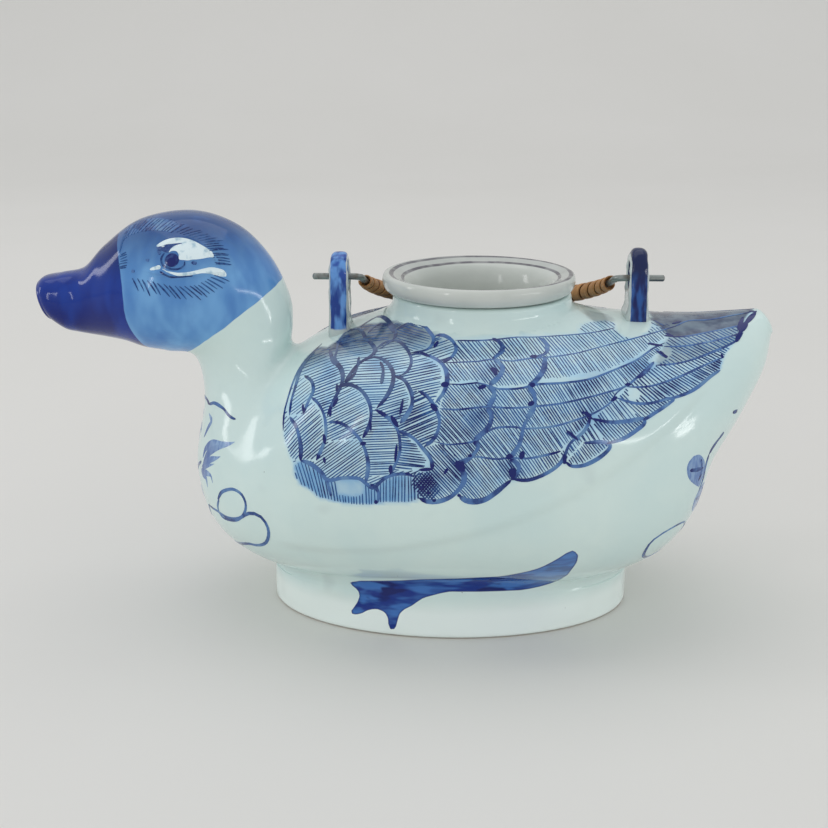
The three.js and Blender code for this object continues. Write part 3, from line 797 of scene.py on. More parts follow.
def wing_masks(grid_s, grid_b, places):
    """Shares of the three washes at places on the skin: the pale tint, the hem's blue and the
    grey. On the far flank, angles are turned back by what the painting is turned down there."""
    drop = FAR_DROP * np.exp((grid_b - 360) / FAR_FADE)
    flank = np.where(grid_b > 180, 360 - grid_b - drop, grid_b)
    flank = np.where(grid_s < 3, np.maximum(flank, 4.5), flank)

    def within(outline):
        return blur_inside(outline, grid_s, flank)

    tint, hem = within(WING_OUTLINE), within(HEM_ROW)
    tail_top = within(between(BACK_EDGE, FLIGHT[8][:5]))
    tail_top = np.maximum(tail_top, within(between(FLIGHT[8][:5], FLIGHT[6])) * 0.45)
    tail_top = np.maximum(tail_top, within(GREY_SPOT) * 0.4)
    shoulder = 1 - smooth(22, 38, flank)
    grey = np.maximum(tint * shoulder * smooth(6.0, 6.5, grid_s), tail_top)
    for spot in BARE_SPOTS:
        tint = tint * (1 - 0.6 * within(spot))
    hem = hem * (1 - 0.4 * within(BARE_SPOTS[2]))
    hem = np.maximum(hem, 0.85 * tint * darkness(on_sheet(places)))
    return np.stack([tint, hem, grey, np.ones_like(tint)], -1)


def bare_cut_walls(layer, count):
    """Points that the cuts made come out with every wash on them, and are made bare."""
    wash = np.empty(4 * count, np.float32)
    layer.data.foreach_get("color", wash)
    wash = wash.reshape(-1, 4)
    wash[wash[:, :3].min(1) > 0.99, :3] = 0
    layer.data.foreach_set("color", wash.reshape(-1))


def duck_shell(finish):
    """The outer skin, less the room inside it, the mouth and the spout."""
    s = np.linspace(0.1, LAST - 0.5, 304)
    b = np.linspace(0, 360, 272, endpoint=False)
    grid_s, grid_b = np.meshgrid(s, b, indexing="ij")
    grid = skin(grid_s, grid_b)
    out_tail = np.array([0.847, 0, 0.532])
    out_beak = np.array([-0.95, 0, -0.312])
    tail = rounded_tip(grid[0], out_tail, 1.9, 0.97)[::-1]
    beak = rounded_tip(grid[-1], out_beak, 1.4, 0.36)
    points, faces = capped(np.concatenate([tail, grid, beak]))
    shell = make("duck_shell", points, faces)
    wash = np.zeros((len(points), 4))
    wash[:, 3] = 1
    start = len(tail) * len(b)
    wash[start:start + grid_s.size] = wing_masks(grid_s, grid_b, grid).reshape(-1, 4)
    layer = shell.data.attributes.new("wash", "FLOAT_COLOR", "POINT")
    layer.data.foreach_set("color", wash.astype(np.float32).reshape(-1))
    mark_leg(shell, points)

    cavity_s = np.linspace(1.7, LAST - 3.6, 70)
    cavity_b = np.linspace(0, 360, 64, endpoint=False)
    room = skin(*np.meshgrid(cavity_s, cavity_b, indexing="ij"), grow=-SHELL_WALL, raised=False)
    mouth = turned([(MOUTH_BORE, 70), (MOUTH_BORE, 120)], MOUTH_X, 128)
    cutters = (("room", room), ("mouth", mouth), ("spout", spout_bore()))
    cut(shell, *(make(name, *capped(rings)) for name, rings in cutters))
    bare_cut_walls(shell.data.attributes["wash"], len(shell.data.vertices))
    finished(shell, "pot", "glaze", finish, "body_shell")


def spout_bore():
    """Level oval hole through the beak's tip, flaring a little at its mouth."""
    x = np.array([-95.0, -105, -112, -118, -121.0, -126.0])[:, None]
    flare = np.array([1.0, 1.0, 1.0, 0.97, 0.92, 0.9])[:, None]
    turn = full_turn(40)
    y = SPOUT_HALF_WIDE * flare * np.cos(turn)
    z = SPOUT_HEIGHT + SPOUT_HALF_TALL * flare * np.sin(turn)
    return np.stack([x + 0 * turn, y, z], -1)


def mouth_collar(finish):
    """The collar stands straight up to a rounded lip. Outside, it comes down the wall and the
    first of its foot, and then dips under the skin, whose own rise carries on from there."""
    turn = full_turn(160)
    reach = np.array([3.3, 2.9, 2.4, 2.0, 1.6, 1.25, 0.95, 0.7, 0.48, 0.3, 0.16, 0.06, 0.0])
    radius = COLLAR_LIP + reach[:, None] + 0 * turn
    x, y = MOUTH_X + radius * np.cos(turn), radius * np.sin(turn)
    back = height_on_back(x, y)
    dip = np.array([0.4, 0.08, -0.01] + [-0.03] * 10)[:, None]
    side = back + collar_foot(x, y, back, COLLAR_LIP) - dip
    wall = np.stack([x, y, side], -1)
    lip = [(COLLAR_LIP, -1.3), (29.9, -0.8), (29.55, -0.35), (29.0, -0.1), (28.3, 0.0), (27.4, 0.0),
           (26.7, -0.15), (26.2, -0.55)] + [(MOUTH_BORE, -deep) for deep in (1.2, 4.0, 8.0)]
    top = turned([(r, LIP_HEIGHT + h) for r, h in lip], MOUTH_X, len(turn))
    bore = height_on_back(MOUTH_X + MOUTH_BORE * np.cos(turn), MOUTH_BORE * np.sin(turn))
    deep = [
        np.stack([MOUTH_X + r * np.cos(turn), r * np.sin(turn), bore - drop], -1)
        for r, drop in ((25.97, 3.0), (25.97, 3.6), (26.6, 3.7), (27.6, 2.2))
    ]
    sunk = wall[:1] - np.array([0, 0, 1.4])
    grid = np.concatenate([wall, top, deep, sunk])
    collar = make("collar", grid.reshape(-1, 3), weave(len(grid), len(turn), round_rows=True), sharp=50)
    finished(collar, "pot", "glaze", finish, "mouth_collar")


def foot_side(cos, sin, turn):
    """The ring's outside: each level is an ellipse, rounded in at its toe by a quarter circle.
    It swells and dips by three sines round the ring."""
    toe, top = 1.4, 12.5
    rise = toe * (1 - np.cos(np.linspace(0, np.pi / 2, 7)))
    level = np.concatenate([rise, np.linspace(2.1, top, 15)])[:, None]
    tuck = toe * (1 - np.sqrt(np.clip(1 - (1 - np.minimum(level / toe, 1)) ** 2, 0, 1)))
    dents = 0.3 * np.sin(7 * turn + 1.3) + 0.2 * np.sin(12 * turn) + 0.12 * np.sin(23 * turn + 0.6)
    dents = dents * smooth(0.3, 5.0, level) * (1 - smooth(9, top, level))
    wide = np.interp(level, [0, 1.2, 9, 30], [39.5, FOOT_WIDE, 37.85, 37.4])
    offset = dents - tuck
    x = FOOT_X + (FOOT_LONG + offset) * cos
    return np.stack([x, (wide + offset) * sin, level + 0 * turn], -1)


def foot_fillet(cos, sin):
    """The ring's top turns outwards on to the belly in a quarter of an ellipse."""
    wide, run, drop = 37.6, 2.6, 3.2
    phi = np.radians([0, 10, 20, 30, 40, 50, 59, 67, 74, 80, 85, 90])[:, None]
    size = np.hypot(cos / FOOT_LONG, sin / wide)
    x = FOOT_X + (FOOT_LONG - SEAT_GAP) * cos + run * (1 - np.cos(phi)) * (cos / FOOT_LONG / size)
    y = (wide - SEAT_GAP) * sin + run * (1 - np.cos(phi)) * (sin / wide / size)
    belly = height_under_belly(x, y)
    return np.stack([x, y, belly - drop * (1 - np.sin(phi)) + 0.03 * np.sin(phi) ** 6], -1)


def foot_ring(finish):
    """Oval ring pressed by hand: its side, a waist, the fillet on to the belly, and then the
    straight wall of the recess back down to the toe."""
    turn = full_turn(400)
    cos, sin = np.cos(turn), np.sin(turn)
    side, fillet = foot_side(cos, sin, turn), foot_fillet(cos, sin)
    waist = side[-1:].copy()
    waist[..., 2] = (side[-1, :, 2] + fillet[0, :, 2]) / 2
    sunk = fillet[-1:] + np.array([0, 0, 1.5])
    long, wide = FOOT_LONG - 6.5, 30.3
    inner = [(long, wide, h) for h in (14.0, 6.0, 2.0)]
    inner += [(FOOT_LONG - 5.6, 31.2, 0.5), (FOOT_LONG - 4.9, 32.0, 0.0)]
    recess = [np.stack([FOOT_X + a * cos, c * sin, 0 * turn + h], -1) for a, c, h in inner]
    recess[0][:, 2] = height_under_belly(FOOT_X + long * cos, wide * sin) + 1.2
    grid = np.concatenate([side, waist, fillet, sunk, np.array(recess)])
    ring = make("foot", grid.reshape(-1, 3), weave(len(grid), len(turn), round_rows=True), sharp=50)
    mark_leg(ring, grid.reshape(-1, 3))
    finished(ring, "pot", "glaze", finish, "foot_ring")


def signed_power(value, power):
    """A number to a power, with its sign kept."""
    return np.sign(value) * np.abs(value) ** power


def lug(name, x, strap, finish, node):
    """Pierced ear: rings run round the strap between the hole's edge and the outer edge. Each
    section is a superellipse, thicker and wider where the ear meets the back."""
    back = float(height_on_back(np.array([x]), np.array([0.0]))[0])
    hole_top = PIVOT_HEIGHT - SEAT_GAP - WIRE_RADIUS + LUG_HOLE_TALL
    crown = hole_top + strap
    hole_middle = hole_top - LUG_HOLE_TALL / 2
    turn = full_turn(96)
    cos, sin = np.cos(turn), np.sin(turn)
    hole_y = LUG_HOLE_HALF_WIDE * np.sign(cos) * np.abs(cos) ** 0.9
    hole_z = hole_middle + LUG_HOLE_TALL / 2 * np.sign(sin) * np.abs(sin) ** 0.9
    upper = sin > 0
    drop = hole_middle - (back - 5.0)
    above = hole_middle + (crown - hole_middle) * sin
    outer_z = np.where(upper, above, hole_middle + drop * np.sign(sin) * np.abs(sin) ** 0.8)
    depth = (hole_middle - outer_z) / drop
    lower_half = LUG_HALF_WIDE + 2.9 * np.clip(depth, 0, 1) + 1.6 * smooth(0.6, 1.0, depth)
    half = np.where(upper, LUG_HALF_WIDE, lower_half)
    outer_y = half * np.sign(cos) * np.abs(cos) ** np.where(upper, 0.95, 0.42)
    section = full_turn(28)[:, None]
    reach = 0.5 + 0.5 * signed_power(np.cos(section), 0.74)
    thick = signed_power(np.sin(section), 0.74)
    y = hole_y + (outer_y - hole_y) * reach
    z = hole_z + (outer_z - hole_z) * reach
    flare = 1 + 0.34 * (1 - smooth(back, back + 5.5, z)) ** 2 - 0.16 * smooth(hole_middle, crown, z)
    wobble = 0.12 * np.sin(z * 0.7 + x) + 0.1 * np.sin(z * 1.7)
    grid = np.stack([x + thick * (LUG_THICK / 2) * flare + wobble, y, z], -1)
    faces = weave(len(section), len(turn), round_rows=True)
    finished(make(name, grid.reshape(-1, 3), faces), "pot", "cobalt_glaze", finish, node)


def drill(ring, k):
    """A cutter for one drain hole of a ring of holes in the cup's floor."""
    turn = 2 * np.pi * k / (6 * ring)
    u = CUP_X + DRAIN_PITCH * ring * np.cos(turn)
    v = DRAIN_PITCH * ring * np.sin(turn)
    angle = full_turn(16)
    x, y = u + DRAIN_RADIUS * np.cos(angle), v + DRAIN_RADIUS * np.sin(angle)
    ends = [np.stack([x, y, 0 * angle + height], -1) for height in (60.0, 80.0)]
    return make(f"drill_{ring}_{k}", *capped(np.array(ends)))


def infuser(finish):
    """The cup is turned from one profile: a rolled and dished rim, the inside down to the floor
    and its middle hole, and back up the outside. Its floor is pierced in rings."""
    inside_wall, outside_wall, deep = CUP_WALL_IN, CUP_WALL_OUT, -CUP_DEPTH
    floor = deep + 2.4
    rim = [(29.0, 0.05), (30.4, 0.3), (31.4, 1.1), (32.0, 2.2), (32.3, 3.4), (32.3, 4.4), (32.1, 5.3),
           (31.7, 5.9), (31.1, 6.15), (30.4, 6.15), (29.4, 5.85), (28.3, 5.45), (27.2, 5.05),
           (26.2, 4.65), (25.2, 4.1), (24.3, 3.2), (23.5, 1.9), (22.9, 0.3), (22.3, -2.2)]
    inner = [(inside_wall + 0.1, -6), (inside_wall, -14), (inside_wall - 0.2, -26),
             (inside_wall - 0.9, -29.6), (inside_wall - 2.4, -32.0), (inside_wall - 4.5, -33.2),
             (12, floor), (DRAIN_RADIUS, floor)]
    below = [(DRAIN_RADIUS, deep), (12, deep), (outside_wall - 7, deep), (outside_wall - 4, deep + 0.9),
             (outside_wall - 2, deep + 2.8), (outside_wall - 0.6, deep + 6.4), (outside_wall, deep + 11),
             (outside_wall, -8), (outside_wall, -0.9), (24.9, -0.2), (MOUTH_BORE, 0.0)]
    profile = [(r, LIP_HEIGHT + SEAT_GAP + h) for r, h in rim + inner + below]
    grid = turned(profile, CUP_X, 144)
    cup = make("infuser", grid.reshape(-1, 3), weave(*grid.shape[:2], round_rows=True))
    cut(cup, *(drill(ring, k) for ring in range(1, DRAIN_RINGS + 1) for k in range(6 * ring)))
    finished(cup, "infuser", "glaze", finish, "infuser_cup")


# The bail.


def bail_path():
    """Dense points of the bail's centre line in its own plane: straight tails, a bend of a
    quarter circle at each lug, and half an ellipse between them."""
    tail = np.linspace(WIRE_TAIL, SHOULDER + BEND_RADIUS, 24)
    bend = np.linspace(0, np.pi / 2, 16)[1:]
    arch = np.linspace(0, np.pi / 2, 140)[1:]
    bend_u, bend_v = SHOULDER + BEND_RADIUS * (1 - np.sin(bend)), BEND_RADIUS * (1 - np.cos(bend))
    arch_v = BEND_RADIUS + (BAIL_RISE - BEND_RADIUS) * np.sin(arch)
    u = np.concatenate([tail, bend_u, SHOULDER * np.cos(arch)])
    v = np.concatenate([0 * tail, bend_v, arch_v])
    u = np.concatenate([u, -u[-2::-1]])
    v = np.concatenate([v, v[-2::-1]])
    length = np.concatenate([[0], np.cumsum(np.hypot(np.diff(u), np.diff(v)))])
    return u, v, length


PATH_U, PATH_V, PATH_LENGTH = bail_path()
BAIL_LENGTH = PATH_LENGTH[-1]
CANE_FROM = (WIRE_TAIL - SHOULDER) / BAIL_LENGTH + CANE_START
CANE_TO = 1 - CANE_FROM


def round_bail(t, radius, turn):
    """Point at a share t of the bail's length, a radius off its centre line, turned about it
    from the line towards the inside of the arch."""

    def line(length):
        return np.interp(length, PATH_LENGTH, PATH_U), np.interp(length, PATH_LENGTH, PATH_V)

    there, e = t * BAIL_LENGTH, 0.6
    (u, v), ahead, behind = line(there), line(there + e), line(there - e)
    du, dv = ahead[0] - behind[0], ahead[1] - behind[1]
    size = np.hypot(du, dv)
    u = u + radius * np.cos(turn) * dv / size
    v = v - radius * np.cos(turn) * du / size
    return bail_to_pot(u, v, radius * np.sin(turn))


def bail_to_pot(u, v, w):
    """From the bail's own plane to the pot: v points down towards the far flank."""
    x = PIVOT_X + u
    y = v * np.cos(BAIL_DROOP) + w * np.sin(BAIL_DROOP)
    z = PIVOT_HEIGHT - v * np.sin(BAIL_DROOP) + w * np.cos(BAIL_DROOP)
    return np.stack([x, y, z], -1)


def cane_radius(share):
    """Radius of the middle of the cane: bare wire at the ends, swelling to the grip's crown."""
    bare = WIRE_RADIUS + SEAT_GAP + CANE_THICK / 2
    return bare + GRIP_SWELL * np.sin(np.clip(share, 0, 1) * np.pi) ** 0.6


def bail_wire(finish):
    """Round wire with domed ends, carried along the bail's line."""
    first, middle = np.linspace(0, 0.0035, 5), np.linspace(0.006, 0.994, 330)
    t = np.concatenate([first, middle, np.linspace(0.9965, 1, 5)])
    dome = 0.7
    ends = np.minimum(np.minimum(t, 1 - t) * BAIL_LENGTH, dome) / dome
    radius = WIRE_RADIUS * np.sqrt(np.clip(1 - (1 - ends) ** 2, 0.02, 1))
    grid = round_bail(t[:, None], radius[:, None], full_turn(16))
    finished(make("wire", *capped(grid), sharp=50), "bail", "wire", finish, "bail_wire")


def give_strip_uv(piece, along, across):
    """A UV map, named strip, of two numbers given at each point."""
    layer = piece.data.uv_layers.new(name="strip")
    corner = np.empty(len(piece.data.loops), np.int32)
    piece.data.loops.foreach_get("vertex_index", corner)
    uv = np.stack([along[corner], across[corner]], -1)
    layer.data.foreach_set("uv", uv.astype(np.float32).reshape(-1))


def cane_winding(finish):
    """One flat strip of split cane, a little domed, wound round the grip as a screw line."""
    steps = CANE_LOOPS * 30
    share = np.linspace(0, 1, steps + 1)[:, None]
    half = CANE_WIDTH / 2
    across = np.array([-1.0, -0.97, -0.7, -0.25, 0.25, 0.7, 0.97, 1.0, 0.6, 0.0, -0.6])
    lift = np.array([0.0, 0.26, 0.34, 0.38, 0.38, 0.34, 0.26, 0.0, -0.4, -0.4, -0.4])
    taper = 0.25 + 0.75 * smooth(0, 0.006, share) * smooth(0, 0.006, 1 - share)
    wear = 1 + 0.03 * np.sin(share * 310) + 0.02 * np.sin(share * 777 + 1)
    t = CANE_FROM + (CANE_TO - CANE_FROM) * share + across * half * taper * wear / BAIL_LENGTH
    radius = cane_radius(share) + lift
    grid = round_bail(t, radius, share * CANE_LOOPS * 2 * np.pi + 0 * across)
    points, faces = capped(grid)
    strip = make("cane", points, faces, sharp=50)
    path = share * CANE_LOOPS * 2 * np.pi * 2.4
    along = np.concatenate([(path + 0 * across).reshape(-1), [0, path[-1, 0]]])
    wide = np.concatenate([(across * half + 0 * share).reshape(-1), [0, 0]])
    give_strip_uv(strip, along, wide)
    finished(strip, "bail", "cane", finish, "cane_winding")


def grip_padding(finish):
    """Padding under the cane: a tube round the wire that follows the cane's inner side."""
    share = np.linspace(0.075, 0.925, 120)[:, None]
    t = CANE_FROM + (CANE_TO - CANE_FROM) * share
    turn = full_turn(24)
    outer = round_bail(t, cane_radius(share) - CANE_THICK / 2 - 0.12 + 0 * turn, turn)
    inner = round_bail(t, WIRE_RADIUS + 0.15 + 0 * share + 0 * turn, turn)[::-1]
    grid = np.concatenate([outer, inner])
    tube = make("padding", grid.reshape(-1, 3), weave(*grid.shape[:2], round_rows=True), sharp=50)
    along = np.concatenate([t * BAIL_LENGTH, t[::-1] * BAIL_LENGTH]) + 0 * turn
    give_strip_uv(tube, along.reshape(-1), (0 * along + turn * 2).reshape(-1))
    finished(tube, "bail", "cane", finish, "grip_core")


# The painting.
# Places on a flank are (s, b) pairs. Strokes were laid out on the near flank, and both flanks
# carry them.

# Right-hand edges of the scale feathers on the shoulder.
SCALES = [
    [(8, 25), (8.03, 18.4), (7.88, 7.4), (7.63, 10.6), (7.46, 22.4)],
    [(7.64, 8), (7.5, 4.8), (7.32, 3.3), (7.1, 14.2), (6.97, 22.8), (7.01, 26.4)],
    [(7.45, 17.3), (7.32, 12.7), (7.12, 15.9), (6.99, 22.5)],
    [(6.97, 20.9), (6.83, 20.4), (6.64, 22.4), (6.5, 26.1), (6.44, 28.9), (6.52, 32.5), (6.73, 33.8)],
    [(6.42, 27.6), (6.31, 28.2), (6.2, 30.2), (6.16, 33.2), (6.22, 37), (6.32, 39.1)],
    [(7.7, 22.3), (7.49, 21.9), (7.28, 29.2), (7.29, 33), (7.5, 36.9), (7.7, 44.3)],
    [(7.25, 29.8), (7.11, 26.4), (6.93, 26.9), (6.78, 31.9), (6.71, 37.9), (6.75, 42.1), (6.85, 43.8)],
    [(6.75, 34.6), (6.58, 34.6), (6.41, 37.2), (6.3, 40.7), (6.26, 45.8), (6.3, 50.2), (6.39, 53.4)],
    [(7.53, 36.8), (7.26, 34.4), (7.07, 37.1), (6.94, 42.4), (6.94, 47.4), (7.02, 51.8), (7.12, 54.7)],
    [(6.92, 43.8), (6.79, 45.2), (6.69, 49.3), (6.66, 53.2), (6.71, 57), (6.79, 59.9)],
    [(6.6, 49.3), (6.49, 51.2), (6.39, 55), (6.34, 58.8), (6.36, 63.2), (6.42, 66), (6.5, 67.9)],
    [(7.83, 45.9), (7.6, 45.6), (7.39, 48.1), (7.25, 52.1), (7.19, 56.1), (7.2, 60.6), (7.27, 64.8)],
    [(7.14, 55.1), (7.01, 56.8), (6.86, 60.1), (6.79, 64.1), (6.77, 69.9), (6.82, 74.9), (6.87, 78.4)],
    [(6.81, 62.2), (6.63, 64.7), (6.52, 68.2), (6.42, 72.4), (6.4, 76.1)],
    [(7.86, 59.1), (7.66, 59.2), (7.45, 62), (7.29, 65.7), (7.2, 70), (7.15, 75), (7.16, 81.8)],
    [(8.36, 48.6), (8.16, 51.5), (7.98, 56.1), (7.89, 61.5), (7.88, 66.4), (7.97, 73.6)],
    [(8.2, 24.8), (8.03, 33.4), (7.86, 36.7), (7.75, 41.7), (7.75, 45.8), (7.83, 50.7), (7.91, 56.7)],
    [(8.78, 36.6), (8.48, 40.9), (8.35, 45.9), (8.41, 49.9), (8.47, 55.3)],
    [(8.85, 56.2), (8.59, 60), (8.41, 65.2), (8.32, 69.8), (8.28, 74.3)],
    [(8.69, 20.3), (8.91, 26.1), (9.03, 33.9), (9, 41.5), (8.97, 48.8), (8.87, 55.5)],
]
# Scalloped line under the scale feathers, and the lower edge of the pale row below it.
HEM = [(8.28, 74.1), (8.05, 75.4), (7.85, 78.4), (7.72, 81.5), (7.49, 80.2), (7.27, 80.1), (7.16, 82),
       (7.06, 83.9), (6.95, 80.5), (6.83, 78.4), (6.68, 78), (6.59, 79.1)]
ROW_LOW = [(8.4, 77.2), (8.32, 81.4), (8.19, 84.7), (7.98, 86.5), (7.84, 89.2), (7.64, 90.2),
           (7.44, 90.8), (7.25, 91.3), (7.08, 91.1), (6.98, 90.1), (6.84, 89.7), (6.69, 89.8),
           (6.58, 88.9), (6.52, 88)]
# Two rows of rounded tips behind the shoulder.
TIPS = [
    [(5.72, 30.1), (5.62, 31.6), (5.62, 34.4), (5.72, 37.7)],
    [(5.73, 37.5), (5.64, 40.4), (5.63, 43.1), (5.7, 46), (5.78, 47.9)],
    [(5.78, 47.9), (5.73, 50.6), (5.76, 53.3), (5.81, 55.4)],
    [(5.81, 55.2), (5.77, 58), (5.8, 61.3), (5.89, 64.1), (5.96, 66.2)],
    [(5.96, 66.2), (5.92, 68.5), (6, 71.9), (6.11, 74.5)],
    [(6.14, 73.9), (6.08, 77.3), (6.07, 80.8), (6.12, 84.0), (6.21, 87.2), (6.33, 89.0), (6.44, 89.1),
     (6.53, 87.6)],
    [(5.17, 28.9), (5.08, 31.1), (5.11, 35.3), (5.29, 37.6)],
    [(5.12, 36.6), (5.16, 42.3), (5.27, 46.6), (5.36, 48.2)],
    [(5.36, 48.2), (5.3, 52), (5.33, 55.9), (5.4, 59.1)],
    [(5.4, 59.1), (5.45, 62.3), (5.5, 67.6), (5.6, 72.4)],
    [(5.6, 72.4), (5.52, 75.1), (5.54, 78.4), (5.6, 80.6)],
    [(5.6, 80.7), (5.68, 83.2), (5.76, 85.8), (5.85, 88.2), (5.95, 89.2), (6.05, 88.7), (6.12, 86.8)],
]
# Long lines between the flight feathers, from the shoulder towards the tail.
QUILLS = [
    [(6.17, 30), (5.92, 30.6), (5.67, 30.4), (5.42, 29.5), (5.17, 28.7), (4.65, 25.9), (4.23, 22.2),
     (3.92, 18.2)],
    [(6.3, 39.2), (6.08, 39.1), (5.88, 38.9), (5.73, 38), (5.53, 38.9), (5.29, 37.6), (5.1, 37.2),
     (4.69, 35.4), (4.24, 31.9), (3.86, 29.2), (3.24, 24.4), (2.6, 18.6)],
    [(6.28, 47.2), (6.08, 47.6), (5.93, 47.1), (5.78, 48.2), (5.69, 49.3), (5.49, 49.3), (5.37, 48.7),
     (5.24, 47.8), (4.92, 47.6), (4.55, 46.6), (4.11, 43.3), (3.67, 40), (3.27, 35.1), (3.0, 32.9)],
    [(6.34, 55.3), (6.16, 55.8), (5.97, 55.4), (5.81, 55.1), (5.55, 55.6), (5.3, 55.2), (5.03, 54.7),
     (4.71, 53.6), (4.36, 52.3), (4.02, 50.9), (3.68, 46.8), (3.37, 42.9)],
    [(6.39, 66.1), (6.25, 67.2), (6.11, 67), (5.96, 66.2), (5.77, 62.3), (5.56, 61.7), (5.4, 62.4),
     (5.12, 62), (4.81, 60.4), (4.64, 59.4), (4.46, 57.8), (4.29, 55.6), (4.21, 53.1), (4.02, 50.9)],
    [(6.2, 74.3), (5.98, 71.8), (5.74, 72.7), (5.6, 72.3), (5.43, 72.7), (5.24, 71.8), (5.07, 70.8)],
    [(5.8, 55.1), (5.78, 58.8), (5.85, 63.3), (5.94, 66.7)],
]
# Outer edges of the flight and tail feathers.
FLIGHT = [
    [(5.59, 80.3), (5.44, 80.9), (5.26, 78.8), (5.1, 75.4), (5.03, 72.3), (4.95, 68.3), (4.78, 65.2),
     (4.7, 62.8), (4.65, 60)],
    [(5.03, 74.8), (4.96, 76.8), (4.81, 77.1), (4.62, 75.4), (4.48, 73.1), (4.45, 71.2), (4.56, 69.6),
     (4.79, 68.9)],
    [(4.65, 60.7), (4.38, 63.2), (4.11, 64.4), (3.88, 65.2), (3.87, 67.4), (4.02, 68.8), (4.25, 70.4),
     (4.49, 70.6)],
    [(3.88, 65.9), (3.57, 65), (3.29, 64.5), (3.21, 63.9), (3.39, 61.1)],
    [(4.21, 54.9), (3.96, 58.2), (3.69, 60.4), (3.4, 61.8), (3.07, 64.3), (2.65, 67.3), (2.3, 69.1),
     (2.03, 71.7)],
    [(4.02, 51.2), (3.75, 52.8), (3.52, 53.7), (2.99, 55.1), (2.51, 57.5), (2.1, 61.4), (1.81, 64.6)],
    [(3.36, 44.9), (3.06, 46.8), (2.52, 50.5), (2.01, 54), (1.62, 56.8), (1.28, 57.9), (1.04, 53.5)],
    [(3.05, 35.3), (2.53, 39.3), (1.99, 43.7), (1.46, 48.5), (1.17, 52)],
    [(2.88, 28.2), (2.48, 31.2), (1.88, 33.4), (1.33, 37.3), (0.89, 40.2), (0.43, 31.6), (0.12, 11.3)],
    [(2.63, 19.1), (2.21, 12.7), (1.71, 15.2), (1.0, 13.7), (0.34, 12.9)],
]
# Angles of the lines in the scale feathers, in degrees, in the order of their strokes.
SCALE_SLANTS = [15, 8, 8, -16, 20, 10, 10, 13, 3, 18, 24, 27, 3, -6, 37, 42, 22, 38, 50, 42]
# How the lines of the other feathers lean along the wing: pairs of x and angle.
FLIGHT_SLANT = [(0, -46), (13, -48), (38, -54), (51, -57), (57, -55), (63, -51), (73, -44), (82, -35),
                (92, -28), (101, -27), (110, -24)]
# The same for the row under the scale feathers, and for the three rows along the wing's top.
HEM_SLANT = [(-31, 106), (-15, 93), (0, 88), (8, 96)]
TOP_SLANTS = [
    [(13, -45), (38, -48), (46, -40), (60, -36), (75, -32)],
    [(13, -48), (30, -50), (41, -52), (55, -45), (63, -44), (75, -38)],
    [(13, -50), (38, -54), (50, -55), (60, -50), (70, -48), (80, -42)],
]
# Two more cells, outlined on the upright sheet: the tip next to the scales, and its crossed lines.
LOW_TIP = [(8.1, 67.2), (13.2, 68.6), (18, 64.7), (20.2, 61.3), (21.6, 56.3), (19, 51.8),
           (14.9, 49.7), (10.1, 49), (6.9, 50.3), (4.3, 53.7), (4.6, 56.8), (8.8, 59.2), (10.7, 60.9),
           (10, 63.6)]
CROSSED = [(4.6, 58.8), (10.4, 59.2), (13.6, 52.8), (10.7, 49), (6.9, 50.3), (4, 54)]
